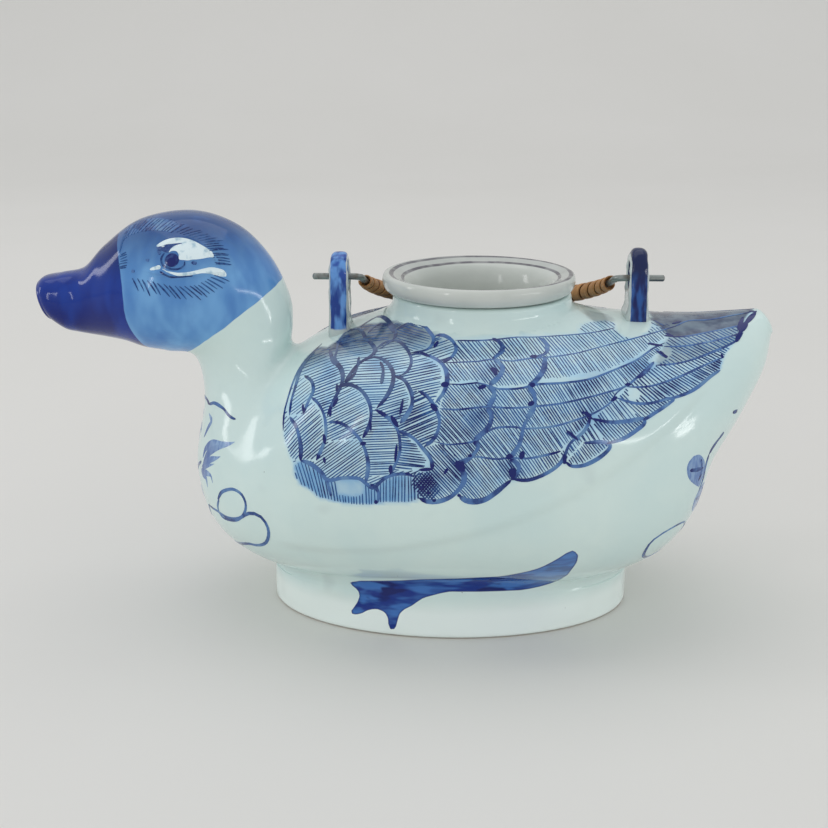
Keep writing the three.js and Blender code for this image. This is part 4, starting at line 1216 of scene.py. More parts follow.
# Dark touches of the brush on the sheet: where each starts and ends, and half its width.
TOUCHES = [
    (109.4, 111.6, 106.6, 108, 0.95), (107, 108.5, 105, 105.3, 1.1),
    (105.4, 105.7, 104.1, 102.2, 0.8), (82, 104, 84.7, 104.1, 0.5), (84.2, 107.8, 86.9, 108.6, 0.5),
    (77.2, 101.5, 81.8, 100.8, 0.55), (79.7, 99.2, 83.5, 97.3, 0.5), (-2.3, 77.4, -0.1, 73.8, 0.71),
    (-0.5, 68.1, -1.1, 62.1, 0.44), (-2.4, 61.1, -2.7, 58.4, 0.59), (-13.2, 91.4, -16.4, 88.4, 0.53),
    (-12.9, 93.9, -14.5, 91.3, 0.71), (13.4, 87.7, 15.9, 88, 0.94), (10.3, 81.5, 12.2, 79.2, 0.82),
    (22.7, 65, 22.7, 64, 0.68), (18.3, 62.6, 20.9, 59.3, 1.18), (9.4, 52.1, 9.8, 51.4, 0.59),
    (11.4, 49.7, 11.4, 48.7, 0.59), (7.2, 54.1, 7.5, 53.1, 0.59), (19.4, 51.5, 19.4, 50.5, 0.59),
    (-7.3, 49.1, -7.3, 47.8, 0.59), (27.5, 87.5, 25, 86.8, 0.68), (29.2, 93.7, 30.8, 91.1, 0.76),
    (41, 97, 43.1, 97.3, 0.76), (41.5, 88.6, 42.4, 87.3, 0.88), (40.7, 81.4, 42.6, 82.4, 0.74),
    (34.2, 63.8, 36.1, 64.8, 0.82), (36.1, 60.5, 36.5, 57.1, 1.18), (39.5, 66.2, 38.9, 63.5, 0.82),
    (52.9, 73.3, 56.7, 70.1, 0.47), (52.5, 65.4, 52.9, 62, 0.59), (66.6, 83, 68.4, 84.3, 0.59),
    (70.7, 88.2, 72.5, 88.5, 0.56), (81, 99.2, 82.9, 97, 0.59), (58.3, 79.3, 60.5, 77.7, 0.71),
    (-23.6, 71.2, -23.4, 67.9, 0.59), (-30.1, 81.1, -30.1, 78.5, 0.44),
    (-19.2, 87.7, -19.3, 85.1, 0.44), (-19, 83.2, -20.6, 80.2, 0.59),
    (-21.3, 79.5, -21.6, 76.9, 0.44), (-23.8, 63.5, -23.5, 61.5, 0.47), (1.5, 83, 0.5, 77.8, 0.44),
    (-12.2, 68, -10.3, 68.4, 0.59), (-9, 76.4, -8.7, 72.4, 0.41), (6.8, 98.3, 9.9, 96.7, 0.65),
    (12.4, 101.8, 11.2, 99.6, 0.59), (82.5, 104.9, 84.7, 103.7, 0.59),
    (105.7, 110.1, 104.4, 106, 0.71), (107.4, 112, 109.5, 111.7, 0.65),
    (99.8, 98.4, 100.5, 97.1, 0.44), (15.8, 60.3, 14.5, 58.2, 0.47), (6.5, 59.5, 11, 59.9, 0.53),
    (3.7, 58.1, 2.1, 58.4, 0.41),
]
# Places on the sheet where the brush went over the lines again: x, height, radius and strength.
DARK_PATCHES = [
    (19.9, 61, 1.6, 1), (18.7, 56.9, 1.8, 0.8), (8.1, 54.1, 2.4, 1), (11, 56.8, 1.8, 0.7),
    (29.3, 92.4, 1.8, 0.8), (25, 88.1, 1.5, 0.6), (27.6, 80.3, 1.8, 0.7), (25.1, 77, 1.5, 0.6),
    (22.7, 71, 2.1, 0.6), (58.6, 87.8, 2.1, 1), (62.2, 90.4, 1.8, 0.7), (54.3, 85.8, 1.5, 0.5),
    (73.2, 93.7, 2.1, 0.9), (77.5, 94.4, 1.5, 1), (85.3, 88.3, 1.8, 0.8), (81.7, 85.4, 1.5, 0.6),
    (60.2, 78, 2.1, 1), (63.5, 75.4, 1.2, 0.5), (57.3, 73.4, 1.5, 0.6), (36.5, 59.1, 1.8, 1),
    (33.9, 62.5, 1.5, 0.6), (-8.2, 94.3, 1.8, 0.8), (-3.8, 95, 1.5, 0.8), (10.6, 94.5, 1.8, 0.6),
    (0.5, 80.1, 1.8, 0.6), (-21.3, 92.9, 2.4, 0.6), (65.1, 82, 1.2, 0.5), (74.7, 75.5, 1.2, 0.5),
    (93.8, 90.7, 1.8, 0.6), (98.5, 94.5, 1.5, 0.9), (82.5, 81.8, 1.2, 0.6), (-22.7, 52.4, 1.5, 0.5),
    (69.5, 80.7, 1.5, 0.5),
]
# Edges of the painted wing: along the back, its top, its front, and its lower tips.
BACK_EDGE = [(3.1, 6), (2.98, 2.3), (2.17, 2.1), (1.39, 2), (0.79, 2.2), (0.2, 4)]
TOP_EDGE = [(6.3, 29.2), (6.17, 29.7), (5.92, 30.4), (5.67, 30.1), (5.42, 29.3), (5.17, 28.4),
            (4.65, 25.3), (4.56, 24.2), (4.54, 19.9), (4.35, 15), (4.03, 10), (3.88, 12.8),
            (3.89, 20.9), (3.81, 25.2), (3.67, 27.3), (3.47, 25.3), (3.26, 21.6), (3.13, 14)]
FRONT_EDGE = [(8.59, 15.7), (8.97, 21.7), (9.16, 31.2), (9.17, 43.4), (9.07, 55.6), (8.89, 64.4),
              (8.6, 71.8)]
TIP_EDGE = [(6.44, 89.3), (6.33, 89.4), (6.21, 87.2), (6.12, 86.8), (6.05, 88.9), (5.95, 89.6),
            (5.85, 88.4), (5.76, 85.8), (5.68, 83.2), (5.6, 80.7)]
LOW_EDGE = TIP_EDGE + [(5.44, 80.7), (5.26, 78.5), (5.1, 75.4)]
NEAR_TIPS = [(5.12, 71.7), (4.98, 67.1), (4.8, 61.9), (4.67, 59.9)]
WING_OUTLINE = (
    FRONT_EDGE + ROW_LOW + TIP_EDGE
    + [(5.44, 80.9), (5.26, 78.8), (5.1, 75.4), (4.96, 76.8), (4.81, 77.1), (4.62, 75.4), (4.48, 73.1),
       (4.42, 70.8), (4.25, 70.4), (4.02, 68.8), (3.87, 67.4), (3.57, 65), (3.29, 64.5), (3.07, 64.3),
       (2.65, 67.3), (2.3, 69.1), (2.03, 71.7), (1.81, 64.6), (1.28, 57.9), (1.04, 53.5),
       (0.89, 40.2), (0.43, 31.6), (0.12, 11.3), (0.2, 2), (3.05, 1.5)]
    + TOP_EDGE[::-1]
    + [(6.43, 27.1), (6.5, 26.1), (6.64, 22.4), (6.83, 20.4),
       (7.02, 15.3), (7.58, 6.1), (7.89, 6.1), (8.05, 16.5), (8.29, 20.9)]
)
HEM_ROW = HEM + [(6.56, 83.7)] + ROW_LOW[::-1] + [(8.36, 75.6)]
# Sprig on the breast: two round buds, leaves and tendrils.
SPRIG = [
    [(11.85, 139.7), (11.79, 125.7), (11.54, 108), (11.23, 95.6), (10.97, 86.7)],
    [(10.07, 124.7), (10.06, 116.1), (9.85, 106.9), (9.56, 103.3), (9.34, 105.3), (9.27, 110.8),
     (9.36, 119.2), (9.57, 126.5), (9.79, 131.7), (9.97, 129.8), (10.05, 123)],
    [(10.2, 145), (9.94, 133.1), (9.64, 126.3), (9.37, 118.4), (9.19, 110.6), (8.99, 107.5),
     (8.78, 108.5), (8.63, 114), (8.63, 122.7), (8.78, 129.5), (8.98, 134), (9.15, 144), (9.3, 160),
     (9.35, 180)],
    [(11.85, 139.7), (11.97, 150), (12.02, 164), (11.95, 180)],
    [(10.95, 141), (10.93, 153), (10.85, 167), (10.78, 180)],
    [(10.2, 145), (10.03, 157), (9.9, 169), (9.84, 180)],
]
# The sprig's stem, down the middle of the breast.
SPRIG_STEM = [(12.3, 179.5), (11.6, 178), (10.9, 179.6), (10.2, 179), (9.6, 179.8), (9.1, 178.6)]
# Each leaf's path, and half its width.
SPRIG_LEAVES = [
    ([(10.88, 136.2), (10.96, 122.2), (10.85, 107.1), (10.52, 90.2)], 1.5),
    ([(10.98, 136), (11.09, 129.5), (11.05, 116.6), (10.82, 101.7)], 1.2),
    ([(10.85, 139.6), (10.82, 123.3), (10.64, 107.6)], 1.2),
    ([(10.82, 142.2), (10.77, 128.1), (10.66, 116.6)], 0.7),
    ([(10.8, 142.5), (10.62, 133.7), (10.45, 134.1)], 1.3),
    ([(10.81, 140.6), (10.58, 125.4), (10.4, 124)], 1.1),
    ([(11.32, 138), (11.43, 131.3), (11.51, 126.4), (11.69, 136.4)], 0.8),
    ([(11.2, 178), (11.45, 170), (11.55, 162), (11.45, 154)], 1.2),
    ([(10.5, 178), (10.35, 171), (10.42, 162), (10.58, 153)], 1.3),
    ([(11.55, 178), (11.72, 173), (11.8, 166)], 0.8),
    ([(9.9, 178), (9.7, 170), (9.62, 160)], 1.0),
]
# Strokes of the small flower on the rump.
RUMP = [
    [(3.24, 104.4), (3.07, 110.3), (2.95, 114.6)],
    [(2.97, 106.6), (2.98, 111.5), (3.02, 116.5), (3.11, 118)],
    [(2.34, 119.6), (2.5, 116), (2.64, 113.4), (2.76, 112.6)],
    [(2.07, 116), (1.97, 123.3)],
    [(3.2, 148), (3.08, 141), (2.98, 134)],
    [(3, 146), (3.1, 138), (3.2, 131)],
    [(2.76, 112.6), (2.86, 116), (2.98, 124), (3.12, 128)],
]
# The rump's two petals: upper and lower edge of each in turn.
RUMP_EDGES = [
    [(3.1, 99.6), (3.24, 99.7), (3.3, 102.9), (3.29, 108.5), (3.21, 115.7), (3.1, 124.4)],
    [(3.1, 99.6), (2.98, 103), (2.91, 109.2), (2.9, 115.2), (2.95, 119.6), (3.1, 124.4)],
    [(3.12, 127), (3.24, 129), (3.31, 134), (3.31, 141), (3.23, 148), (3.1, 153)],
    [(3.12, 127), (2.97, 130), (2.9, 135), (2.88, 142), (2.94, 148), (3.1, 153)],
]
# A loose petal under the flower, drawn as one closed line.
RUMP_PETAL = [(3.5, 143), (3.52, 136.8), (3.66, 130.5), (3.83, 126.9), (3.96, 125.8), (4.09, 126.6),
              (4.17, 130.6), (4.22, 138), (4.14, 147), (3.95, 154), (3.72, 156), (3.53, 151),
              (3.5, 143)]
# More of the wing's strokes: its front edge, short feathers on the shoulder, and dark touches.
EXTRA = [
    [(8.93, 62.6), (9.09, 54.8), (9.15, 47.2), (9.18, 38.7), (9.1, 29.9), (8.85, 21.1), (8.52, 13.3)],
    [(8.07, 17.4), (8.01, 26.4), (8, 32.3), (7.83, 36.7)],
    [(7.52, 33.3), (7.52, 38.8), (7.58, 42.9), (7.69, 44.6)],
    [(6.98, 26.7), (7.07, 27.3), (7.19, 30.1)],
    [(7.15, 37.1), (7.09, 41), (7.09, 46.4)],
    [(7.1, 82.2), (7.02, 83.9), (6.98, 86.9), (6.99, 90.1)],
    [(7.73, 81.7), (7.68, 84.8), (7.63, 88.3)],
    [(3.35, 31.4), (3.28, 32.3), (3.2, 33.3)],
    [(3.26, 35.9), (3.17, 39.7), (3.07, 42.9)],
    [(3.78, 48.6), (3.57, 46.4), (3.38, 43)],
    [(4.98, 64.4), (4.91, 66.2), (4.82, 67.6)],
    [(4.75, 58.1), (4.69, 59), (4.63, 59.9)],
]
# Grey place beside the rear lug's foot.
GREY_SPOT = [(4.42, 6), (4.25, -3), (3.98, -2), (3.9, 5), (3.84, 9), (3.96, 12), (4.16, 14.5), (4.33, 12)]
# Places in the wing that the brush left bare.
BARE_SPOTS = [
    [(3.5, 42.3), (3.18, 38.4), (2.95, 34.7), (2.92, 40.1), (3.05, 43.1), (3.3, 44.1)],
    [(4, 52.2), (3.86, 52.1), (3.78, 54.8), (3.88, 57.1), (4.01, 56.7)],
    [(7.6, 81.9), (7.21, 81.6), (7.15, 84.8), (7.27, 87.5), (7.53, 87.2)],
    [(5.23, 47.1), (4.98, 46.9), (4.55, 45.4), (4.39, 44.1), (4.4, 45.3), (4.85, 47.8)],
]


# How many degrees round a section are about as long as one step of s.
S_IN_DEGREES = 16


def drawn(points, count):
    """A stroke as count places evenly spaced along a smooth curve through its points."""
    points = np.asarray(points, float)
    dense = curve_through(points, np.linspace(0, len(points) - 1, 12 * len(points)))
    step_s, step_b = np.diff(dense, axis=0).T
    length = np.concatenate([[0], np.cumsum(np.hypot(step_s * S_IN_DEGREES, step_b))])
    at = np.linspace(0, length[-1], count)
    return np.stack([np.interp(at, length, dense[:, k]) for k in (0, 1)], -1)


def slab(s, b, side, proud, sunk):
    """Thin coats of paint over grids of places on the skin. Each ring of points runs across the
    coat just proud of the skin, and back under it. Returns points and faces."""
    columns = s.shape[2]
    if side == FAR:
        b = b + FAR_DROP * np.exp(-b / FAR_FADE)
    base, _, _, up = skin_frame(s, b, side)
    proud = np.reshape(proud, (-1, 1, 1, 1)) if np.ndim(proud) else proud
    top, low = base + up * proud, base - up * sunk
    rings = np.concatenate([top, low[:, :, ::-1]], axis=2)
    count, rows, ring = rings.shape[:3]
    r, c = np.meshgrid(np.arange(rows - 1), np.arange(ring), indexing="ij")
    c2 = (c + 1) % ring
    sides = [r * ring + c, (r + 1) * ring + c, (r + 1) * ring + c2, r * ring + c2]
    sides = np.stack(sides, -1).reshape(-1, 4)
    k = np.arange(columns - 1)
    start = np.stack([k, k + 1, ring - 2 - k, ring - 1 - k], -1)
    end = start[:, ::-1] + (rows - 1) * ring
    one = np.concatenate([sides, start, end])
    faces = (one[None] + (np.arange(count) * rows * ring)[:, None, None]).reshape(-1, 4)
    return rings.reshape(-1, 3), faces


def ribbons(s, b, half, side, proud, columns=2, sunk=0.08):
    """Flat ribbons of paint that follow the skin. s, b and half, half the width, have a row for
    each ribbon. The width is turned into steps of s and b by the skin's own slopes."""
    point, along, round_, normal = skin_frame(s, b, side)
    ahead = np.gradient(point, axis=1)
    ahead /= np.linalg.norm(ahead, axis=-1, keepdims=True) + 1e-9
    across = np.cross(normal, ahead)
    e, f, g = (np.sum(p * q, -1) for p, q in ((along, along), (along, round_), (round_, round_)))
    h, k = np.sum(along * across, -1), np.sum(round_ * across, -1)
    det = e * g - f * f + 1e-9
    step_s, step_b = (h * g - k * f) / det, (k * e - h * f) / det
    place = np.linspace(-1, 1, columns) * half[..., None]
    wide_s = s[..., None] + step_s[..., None] * place
    wide_b = b[..., None] + step_b[..., None] * place
    return slab(wide_s, wide_b, side, proud, sunk)


def patch(upper, lower, side, proud, count=40, columns=10, load=0.0):
    """A coat of paint filling the space between an upper and a lower edge."""
    first, last = drawn(upper, count), drawn(lower, count)
    share = np.linspace(0, 1, columns)[None, :, None]
    grid = first[:, None] * (1 - share) + last[:, None] * share
    point, _, _, normal = skin_frame(grid[..., 0], grid[..., 1], side)
    middle, centre = count // 2, columns // 2
    ahead, across = point[-1, centre] - point[0, centre], point[middle, -1] - point[middle, 0]
    if np.dot(np.cross(normal[middle, centre], ahead), across) < 0:
        grid = grid[:, ::-1]
    points, faces = slab(grid[None, ..., 0], grid[None, ..., 1], side, proud, 0.08)
    return points, faces, np.full(len(points), load)


def gather(parts):
    """Joins several sets of points and faces into one."""
    points, faces, load, first = [], [], [], 0
    for p, f, w in parts:
        points.append(p)
        faces.append(f + first)
        load.append(w)
        first += len(p)
    return np.concatenate(points), np.concatenate(faces), np.concatenate(load)


def lay_paint(name, parts, finish):
    """Makes one piece of painted ribbons, with the load of the brush at each point."""
    points, faces, load = gather(parts)
    piece = make(name, points, faces, sharp=30)
    give_values(piece, "load", load)
    finished(piece, "pot", "cobalt_glaze", finish)


def brush_lines(strokes, half, count, side, rng, proud=0.085):
    """Brush strokes with rounded ends and a width that breathes. Returns points, faces, load."""
    columns = 3
    rows = np.array([drawn(stroke, count) for stroke in strokes])
    t = np.linspace(0, 1, count)
    ends = np.sqrt(np.clip(1 - np.abs(2 * t - 1) ** 14, 0.04, 1))
    breath = 1 + 0.16 * np.sin(t * 5 + rng.uniform(0, 6, (len(rows), 1)))
    breath = breath + 0.08 * np.sin(t * 13 + rng.uniform(0, 6, (len(rows), 1)))
    wide = half * ends * breath * rng.uniform(0.85, 1.12, (len(rows), 1))
    level = proud + 0.006 * (np.arange(len(rows)) % 5)
    points, faces = ribbons(rows[..., 0], rows[..., 1], wide, side, level, columns)
    load = np.exp(-((t / 0.13) ** 2)) * 0.7 + np.exp(-(((1 - t) / 0.1) ** 2))
    load = np.clip(load * rng.uniform(0.5, 1.1, (len(rows), 1)), 0, 1)
    return points, faces, np.repeat(load.reshape(-1), 2 * columns)


def darkness(places):
    """How dark the brush left places on the sheet: the sum of round soft patches, at most 1."""
    total = np.zeros(places.shape[:-1])
    for x, z, radius, strength in DARK_PATCHES:
        off = (places[..., 0] - x) ** 2 + (places[..., 1] - z) ** 2
        total += strength * np.exp(-off / (1.6 * radius) ** 2)
    return np.clip(total, 0, 1)


# A net of places over the wing, and where they show on the sheet.
NET = np.meshgrid(np.linspace(0.05, 9.5, 90), np.linspace(3, 102, 72), indexing="ij")
NET = np.stack(NET, -1).reshape(-1, 2)
NET_PLACES = on_sheet(skin(NET[:, 0], NET[:, 1]))


def flat(places):
    """Places (s, b) of the near flank, carried to the sheet."""
    places = np.asarray(places, float)
    return on_sheet(skin(places[:, 0], places[:, 1]))


def find_from_sheet(wanted):
    """(s, b) on the near flank for places on the sheet: the nearest of a net of places over the
    wing, and then Newton's steps."""
    gap = np.sum((wanted[:, None] - NET_PLACES[None]) ** 2, -1)
    s, b = NET[np.argmin(gap, 1)].T
    for _ in range(9):
        miss = wanted - on_sheet(skin(s, b))
        p = (on_sheet(skin(s + 0.01, b)) - on_sheet(skin(s - 0.01, b))) / 0.02
        q = (on_sheet(skin(s, b + 0.2)) - on_sheet(skin(s, b - 0.2))) / 0.4
        det = p[:, 0] * q[:, 1] - p[:, 1] * q[:, 0]
        det = np.where(np.abs(det) < 1e-3, 1e-3, det)
        step_s = (miss[:, 0] * q[:, 1] - miss[:, 1] * q[:, 0]) / det
        step_b = (p[:, 0] * miss[:, 1] - p[:, 1] * miss[:, 0]) / det
        s = np.clip(s + np.clip(step_s, -0.2, 0.2), 0.02, 9.7)
        b = np.clip(b + np.clip(step_b, -3, 3), 2.0, 110)
    return s, b


def hatch(cell, within, over, slant, spacing, rng, short=0.0, row=None):
    """Straight fine lines over a cell on the sheet, inside an outline and less the cells that
    lie over it. slant is the lines' angle, or pairs of x and angle. They start from places along
    a row through the cell's middle, straight across them unless a direction is given. Returns
    where each starts and ends."""
    table = np.array(slant if np.ndim(slant) else [(0, slant)], float)
    centre = (cell.max(0) + cell.min(0)) / 2
    middle = np.radians(np.interp(centre[0], table[:, 0], table[:, 1]))
    way = middle + np.pi / 2 if row is None else np.radians(row)
    reach = np.linalg.norm(cell - centre, axis=1).max() + 2
    gap = spacing / abs(np.sin(way - middle))
    offset = np.arange(-reach, reach, gap)
    offset = offset + rng.uniform(-0.1, 0.1, len(offset)) * gap
    start = centre + offset[:, None] * [np.cos(way), np.sin(way)]
    angle = np.radians(np.interp(start[:, 0], table[:, 0], table[:, 1]))
    angle = angle + rng.uniform(-0.02, 0.02, len(offset))
    line = np.stack([np.cos(angle), np.sin(angle)], -1)
    run = np.arange(-reach, reach, 0.2)
    place = start[:, None] + run[None, :, None] * line[:, None]
    x, z = place[..., 0], place[..., 1]
    keep = inside(cell, x, z) & inside(within, x, z)
    for other in over:
        keep &= ~inside(other, x, z)
    change = np.diff(np.pad(keep, ((0, 0), (1, 1))).astype(np.int8), axis=1)
    which, first = np.nonzero(change == 1)
    _, last = np.nonzero(change == -1)
    begin = run[first] + rng.uniform(0.0, 0.25, len(which))
    end = run[last - 1] - rng.uniform(0.0, 0.3, len(which)) - short * rng.uniform(0.6, 1.2, len(which))
    good = end - begin > 0.8
    which, begin, end = which[good], begin[good, None], end[good, None]
    return start[which] + begin * line[which], start[which] + end * line[which]


def scale_cell(stroke):
    """A feather's cell: its right-hand edge, closed some way towards the head."""
    stroke = drawn(stroke, 14)
    return np.concatenate([stroke, stroke[-1:] + [[0.95, 2.0]], stroke[:1] + [[0.95, -2.0]]])


def between(first, second):
    """The cell between two strokes that run the same way."""
    return np.concatenate([drawn(first, 24), drawn(second, 24)[::-1]])


def wing_cells():
    """Every hatched cell on the sheet, front cells first, with the slant, spacing, weight and
    shortening of its lines and their row. A cell with no spacing is left to the wash."""
    order = sorted(range(len(SCALES)), key=lambda k: -min(p[0] for p in SCALES[k]))
    cells = [(np.array(LOW_TIP), -48, 0.8, 1.1, 0.0, None)]
    for k in order:
        short = (0.2, 1.6, 0.4, 1.0, 0.2, 0.7)[k % 6]
        weight = (1.0, 1.15, 0.9, 1.0, 1.2, 0.95)[k % 6]
        cells.append((flat(scale_cell(SCALES[k])), SCALE_SLANTS[k], 0.84, weight, short, None))
    lines = [TOP_EDGE, *QUILLS[:6]]
    for k in range(len(lines) - 1):
        short = 1.2 if k == 2 else 0.1
        weight = (1.0, 1.1, 1.0, 0.95, 1.1, 1.0)[k]
        slant = TOP_SLANTS[k] if k < 3 else FLIGHT_SLANT
        cells.append((flat(between(lines[k], lines[k + 1])), slant, 0.82, weight, short, 12))
    cells.append((flat(between(QUILLS[5], LOW_EDGE)), FLIGHT_SLANT, 0.82, 1.0, 0.2, 12))
    cells.append((flat(between(FLIGHT[0][3:], NEAR_TIPS)), FLIGHT_SLANT, 0.82, 1.0, 0.1, 20))
    cells.append((flat(FLIGHT[1]), FLIGHT_SLANT, 0.82, 1.1, 0.8, 20))
    cells.append((flat(FLIGHT[2]), FLIGHT_SLANT, 0.82, 1.0, 0.2, 20))
    fourth = np.concatenate([drawn(FLIGHT[3], 12), drawn(FLIGHT[4][:5], 10)[::-1]])
    cells.append((flat(fourth), FLIGHT_SLANT, 0.82, 1.0, 0.1, 20))
    tail = [BACK_EDGE, FLIGHT[9], FLIGHT[8][:5], FLIGHT[7], FLIGHT[6], FLIGHT[5], FLIGHT[4]]
    for k in range(len(tail) - 1):
        spacing = 0.8 if k > 1 else 0.0
        cells.append((flat(between(tail[k], tail[k + 1])), FLIGHT_SLANT, spacing, 1.3, 0.1, 20))
    cells.append((flat([(6.4, 4), (9.3, 4), (9.3, 93), (6.4, 93)]), 24, 0.86, 0.9, 0.1, None))
    cells.append((flat(WING_OUTLINE), FLIGHT_SLANT, 0.84, 0.9, 0.1, 15))
    return cells


def wing_lines(rng):
    """All fine lines of the wing: where they start and end on the sheet, and half their width."""
    wing, hem = flat(WING_OUTLINE), flat(HEM_ROW)
    bare = [flat(spot) for spot in BARE_SPOTS]
    over, found = [hem], []
    for cell, slant, spacing, weight, short, row in wing_cells():
        if spacing:
            found.append((*hatch(cell, wing, over + bare, slant, spacing, rng, short, row), weight))
        over.append(cell)
    found.append((*hatch(hem, hem, bare, HEM_SLANT, 0.98, rng, 0.1, 0), 1.0))
    found.append((*hatch(np.array(CROSSED), wing, [], 52, 0.85, rng), 1.1))
    begin = np.concatenate([row[0] for row in found])
    end = np.concatenate([row[1] for row in found])
    return begin, end, np.concatenate([np.full(len(row[0]), row[2]) for row in found])


def paint_wings(line_finish, pen_finish):
    """Outlines and hatching of the feathers, on both flanks."""
    rng = np.random.default_rng(7)
    begin, end, weight = wing_lines(rng)
    t = np.linspace(0, 1, 6)[:, None]
    bow = rng.uniform(-0.08, 0.08, (len(begin), 1, 1)) * np.sin(np.pi * t)
    across = (end - begin)[:, ::-1] * [-1, 1] / (np.linalg.norm(end - begin, axis=1, keepdims=True) + 1e-9)
    place = begin[:, None] * (1 - t) + end[:, None] * t + bow * across[:, None]
    parts = [find_from_sheet(row) for row in np.array_split(place.reshape(-1, 2), 40)]
    s, b = (np.concatenate([part[k] for part in parts]).reshape(place.shape[:2]) for k in (0, 1))
    dark = darkness(place)
    press = np.array([0.8, 1.05, 1.0, 1.0, 0.9, 0.6]) * rng.uniform(0.8, 1.2, (len(begin), 1))
    wide = 0.185 * weight[:, None] * press * (1 + 0.45 * dark)
    spots = np.array(TOUCHES)
    t = np.linspace(0, 1, 9)[:, None]
    path = spots[:, None, 0:2] * (1 - t) + spots[:, None, 2:4] * t
    spot_s, spot_b = (v.reshape(path.shape[:2]) for v in find_from_sheet(path.reshape(-1, 2)))
    spot_wide = spots[:, 4:5] * np.sqrt(np.clip(1 - (2 * t.T - 1) ** 2, 0.06, 1))
    for side, flank in FLANKS:
        rng = np.random.default_rng(7 if side == NEAR else 11)
        points, faces = ribbons(spot_s, spot_b, spot_wide, side, 0.12, 5)
        outlines = [
            brush_lines(SCALES, 0.6, 18, side, rng),
            brush_lines([HEM], 0.62, 46, side, rng),
            brush_lines(TIPS, 0.72, 22, side, rng),
            brush_lines(QUILLS, 0.3, 40, side, rng),
            brush_lines(FLIGHT[:5], 0.56, 34, side, rng),
            brush_lines(FLIGHT[5:], 0.34, 34, side, rng),
            brush_lines(EXTRA, 0.45, 16, side, rng),
            (points, faces, np.full(len(points), 1.4)),
        ]
        lay_paint(f"feather_outlines_{flank}", outlines, line_finish)
        points, faces = ribbons(s, b, wide, side, 0.05, 2, 0.06)
        hatching = (points, faces, np.repeat(dark.reshape(-1), 4))
        lay_paint(f"feather_hatching_{flank}", [hatching], pen_finish)


def leaf(points, half, side):
    """A leaf or petal laid with one press of the brush: widest in its middle, pointed ahead."""
    row = drawn(points, 22)[None]
    t = np.linspace(0, 1, 22)
    wide = half * np.clip(np.sin(np.pi * t**0.8), 0.03, 1)[None] ** 0.8
    shape, faces = ribbons(row[..., 0], row[..., 1], wide, side, 0.06, 7)
    load = np.repeat(np.clip(1 - np.abs(t - 0.1) * 1.6, 0, 1), 14)
    return shape, faces, load


def paint_sprigs(line_finish, wash_finish):
    """The sprig on the breast and the flower on the rump, on both flanks."""
    for side, flank in FLANKS:
        rng = np.random.default_rng(3 if side == NEAR else 5)
        lines = [
            brush_lines(SPRIG, 0.52, 44, side, rng),
            brush_lines(RUMP, 0.58, 14, side, rng),
            brush_lines([RUMP_PETAL], 0.5, 30, side, rng),
        ]
        if side == NEAR:
            lines.append(brush_lines([SPRIG_STEM], 0.45, 40, side, rng))
        lay_paint(f"sprig_lines_{flank}", lines, line_finish)
        washes = [leaf(points, half, side) for points, half in SPRIG_LEAVES]
        for k in (0, 2):
            washes.append(patch(RUMP_EDGES[k], RUMP_EDGES[k + 1], side, 0.06, 30, 12, 0.25))
        lay_paint(f"sprig_leaves_{flank}", washes, wash_finish)


# Edges and strokes of the eye on the head's flank.
# EYE_UPPER and EYE_LOWER bound the white over the pupil: bare glaze, with a painted reflection over it.
EYE_UPPER = [(16.26, 54.1), (16.21, 51.6), (16.13, 48.9), (16.01, 46.6), (15.86, 44.9), (15.7, 44.3),
             (15.52, 44.6), (15.35, 45.3), (15.22, 45.8), (15.07, 46.8), (14.97, 48.8)]
EYE_LOWER = [(16.24, 55.2), (16.11, 57.3), (15.92, 58.8), (15.85, 57.1), (15.75, 56.5), (15.66, 58.6),
             (15.59, 61.7), (15.48, 61), (15.4, 60.2), (15.32, 58.4), (15.23, 56.8), (15.14, 54.6),
             (15.06, 52.3), (14.97, 50.2)]
FOLD_UPPER = [(16.25, 55.8), (16.13, 54.3), (16.05, 52.5), (15.93, 51.5), (15.75, 49.2)]
FOLD_LOWER = [(16.23, 56.7), (16.11, 58), (15.92, 59.2), (15.9, 55.9), (15.86, 52.9), (15.74, 49.7)]
EYE_SHADE = [(15.72, 56.7), (15.59, 55.3), (15.46, 53.9)]
PUPIL = [(15.89, 65.1), (15.81, 64.6), (15.73, 63.9), (15.66, 63.2), (15.58, 62.5)]
PUPIL_CORE = [(15.81, 66.3), (15.71, 65.6), (15.61, 65)]
# LID_UPPER and LID_LOWER bound the white line along the lower lid: bare glaze on the lid's ridge, with a
# painted highlight along it.
LID_UPPER = [(15.84, 72.1), (15.7, 72.7), (15.56, 72.2), (15.41, 71), (15.24, 68.2), (15.11, 65),
             (14.99, 61.4), (14.86, 57.7), (14.7, 55.4), (14.58, 54), (14.47, 55.4)]
LID_LOWER = [(15.82, 72.8), (15.69, 73.5), (15.54, 73.6), (15.38, 73.1), (15.2, 70.4), (15.06, 67.3),
             (14.92, 64), (14.76, 61.7), (14.63, 60.9), (14.52, 59.2), (14.44, 56.9)]
LID_CORNER = [(16.13, 74.6), (16.04, 73.2), (15.9, 71)]
UNDER_LID = [(15.86, 74.5), (15.69, 75.9), (15.52, 76.2), (15.28, 72.9), (15.08, 69.1)]
IRIS = [(15.99, 59.8), (15.99, 64.6), (15.87, 69.4), (15.67, 70.5), (15.49, 69), (15.41, 65), (15.45, 61.7)]
EYE_MARKS = [[(16.34, 67), (16.3, 67.1), (16.26, 67.2)], [(15.3, 60.7), (15.25, 60.3), (15.19, 59.8)],
             [(16.14, 57.8), (16.12, 59.7), (16.07, 61.5)], [(16.58, 76.2), (16.54, 76.4), (16.5, 76.6)]]
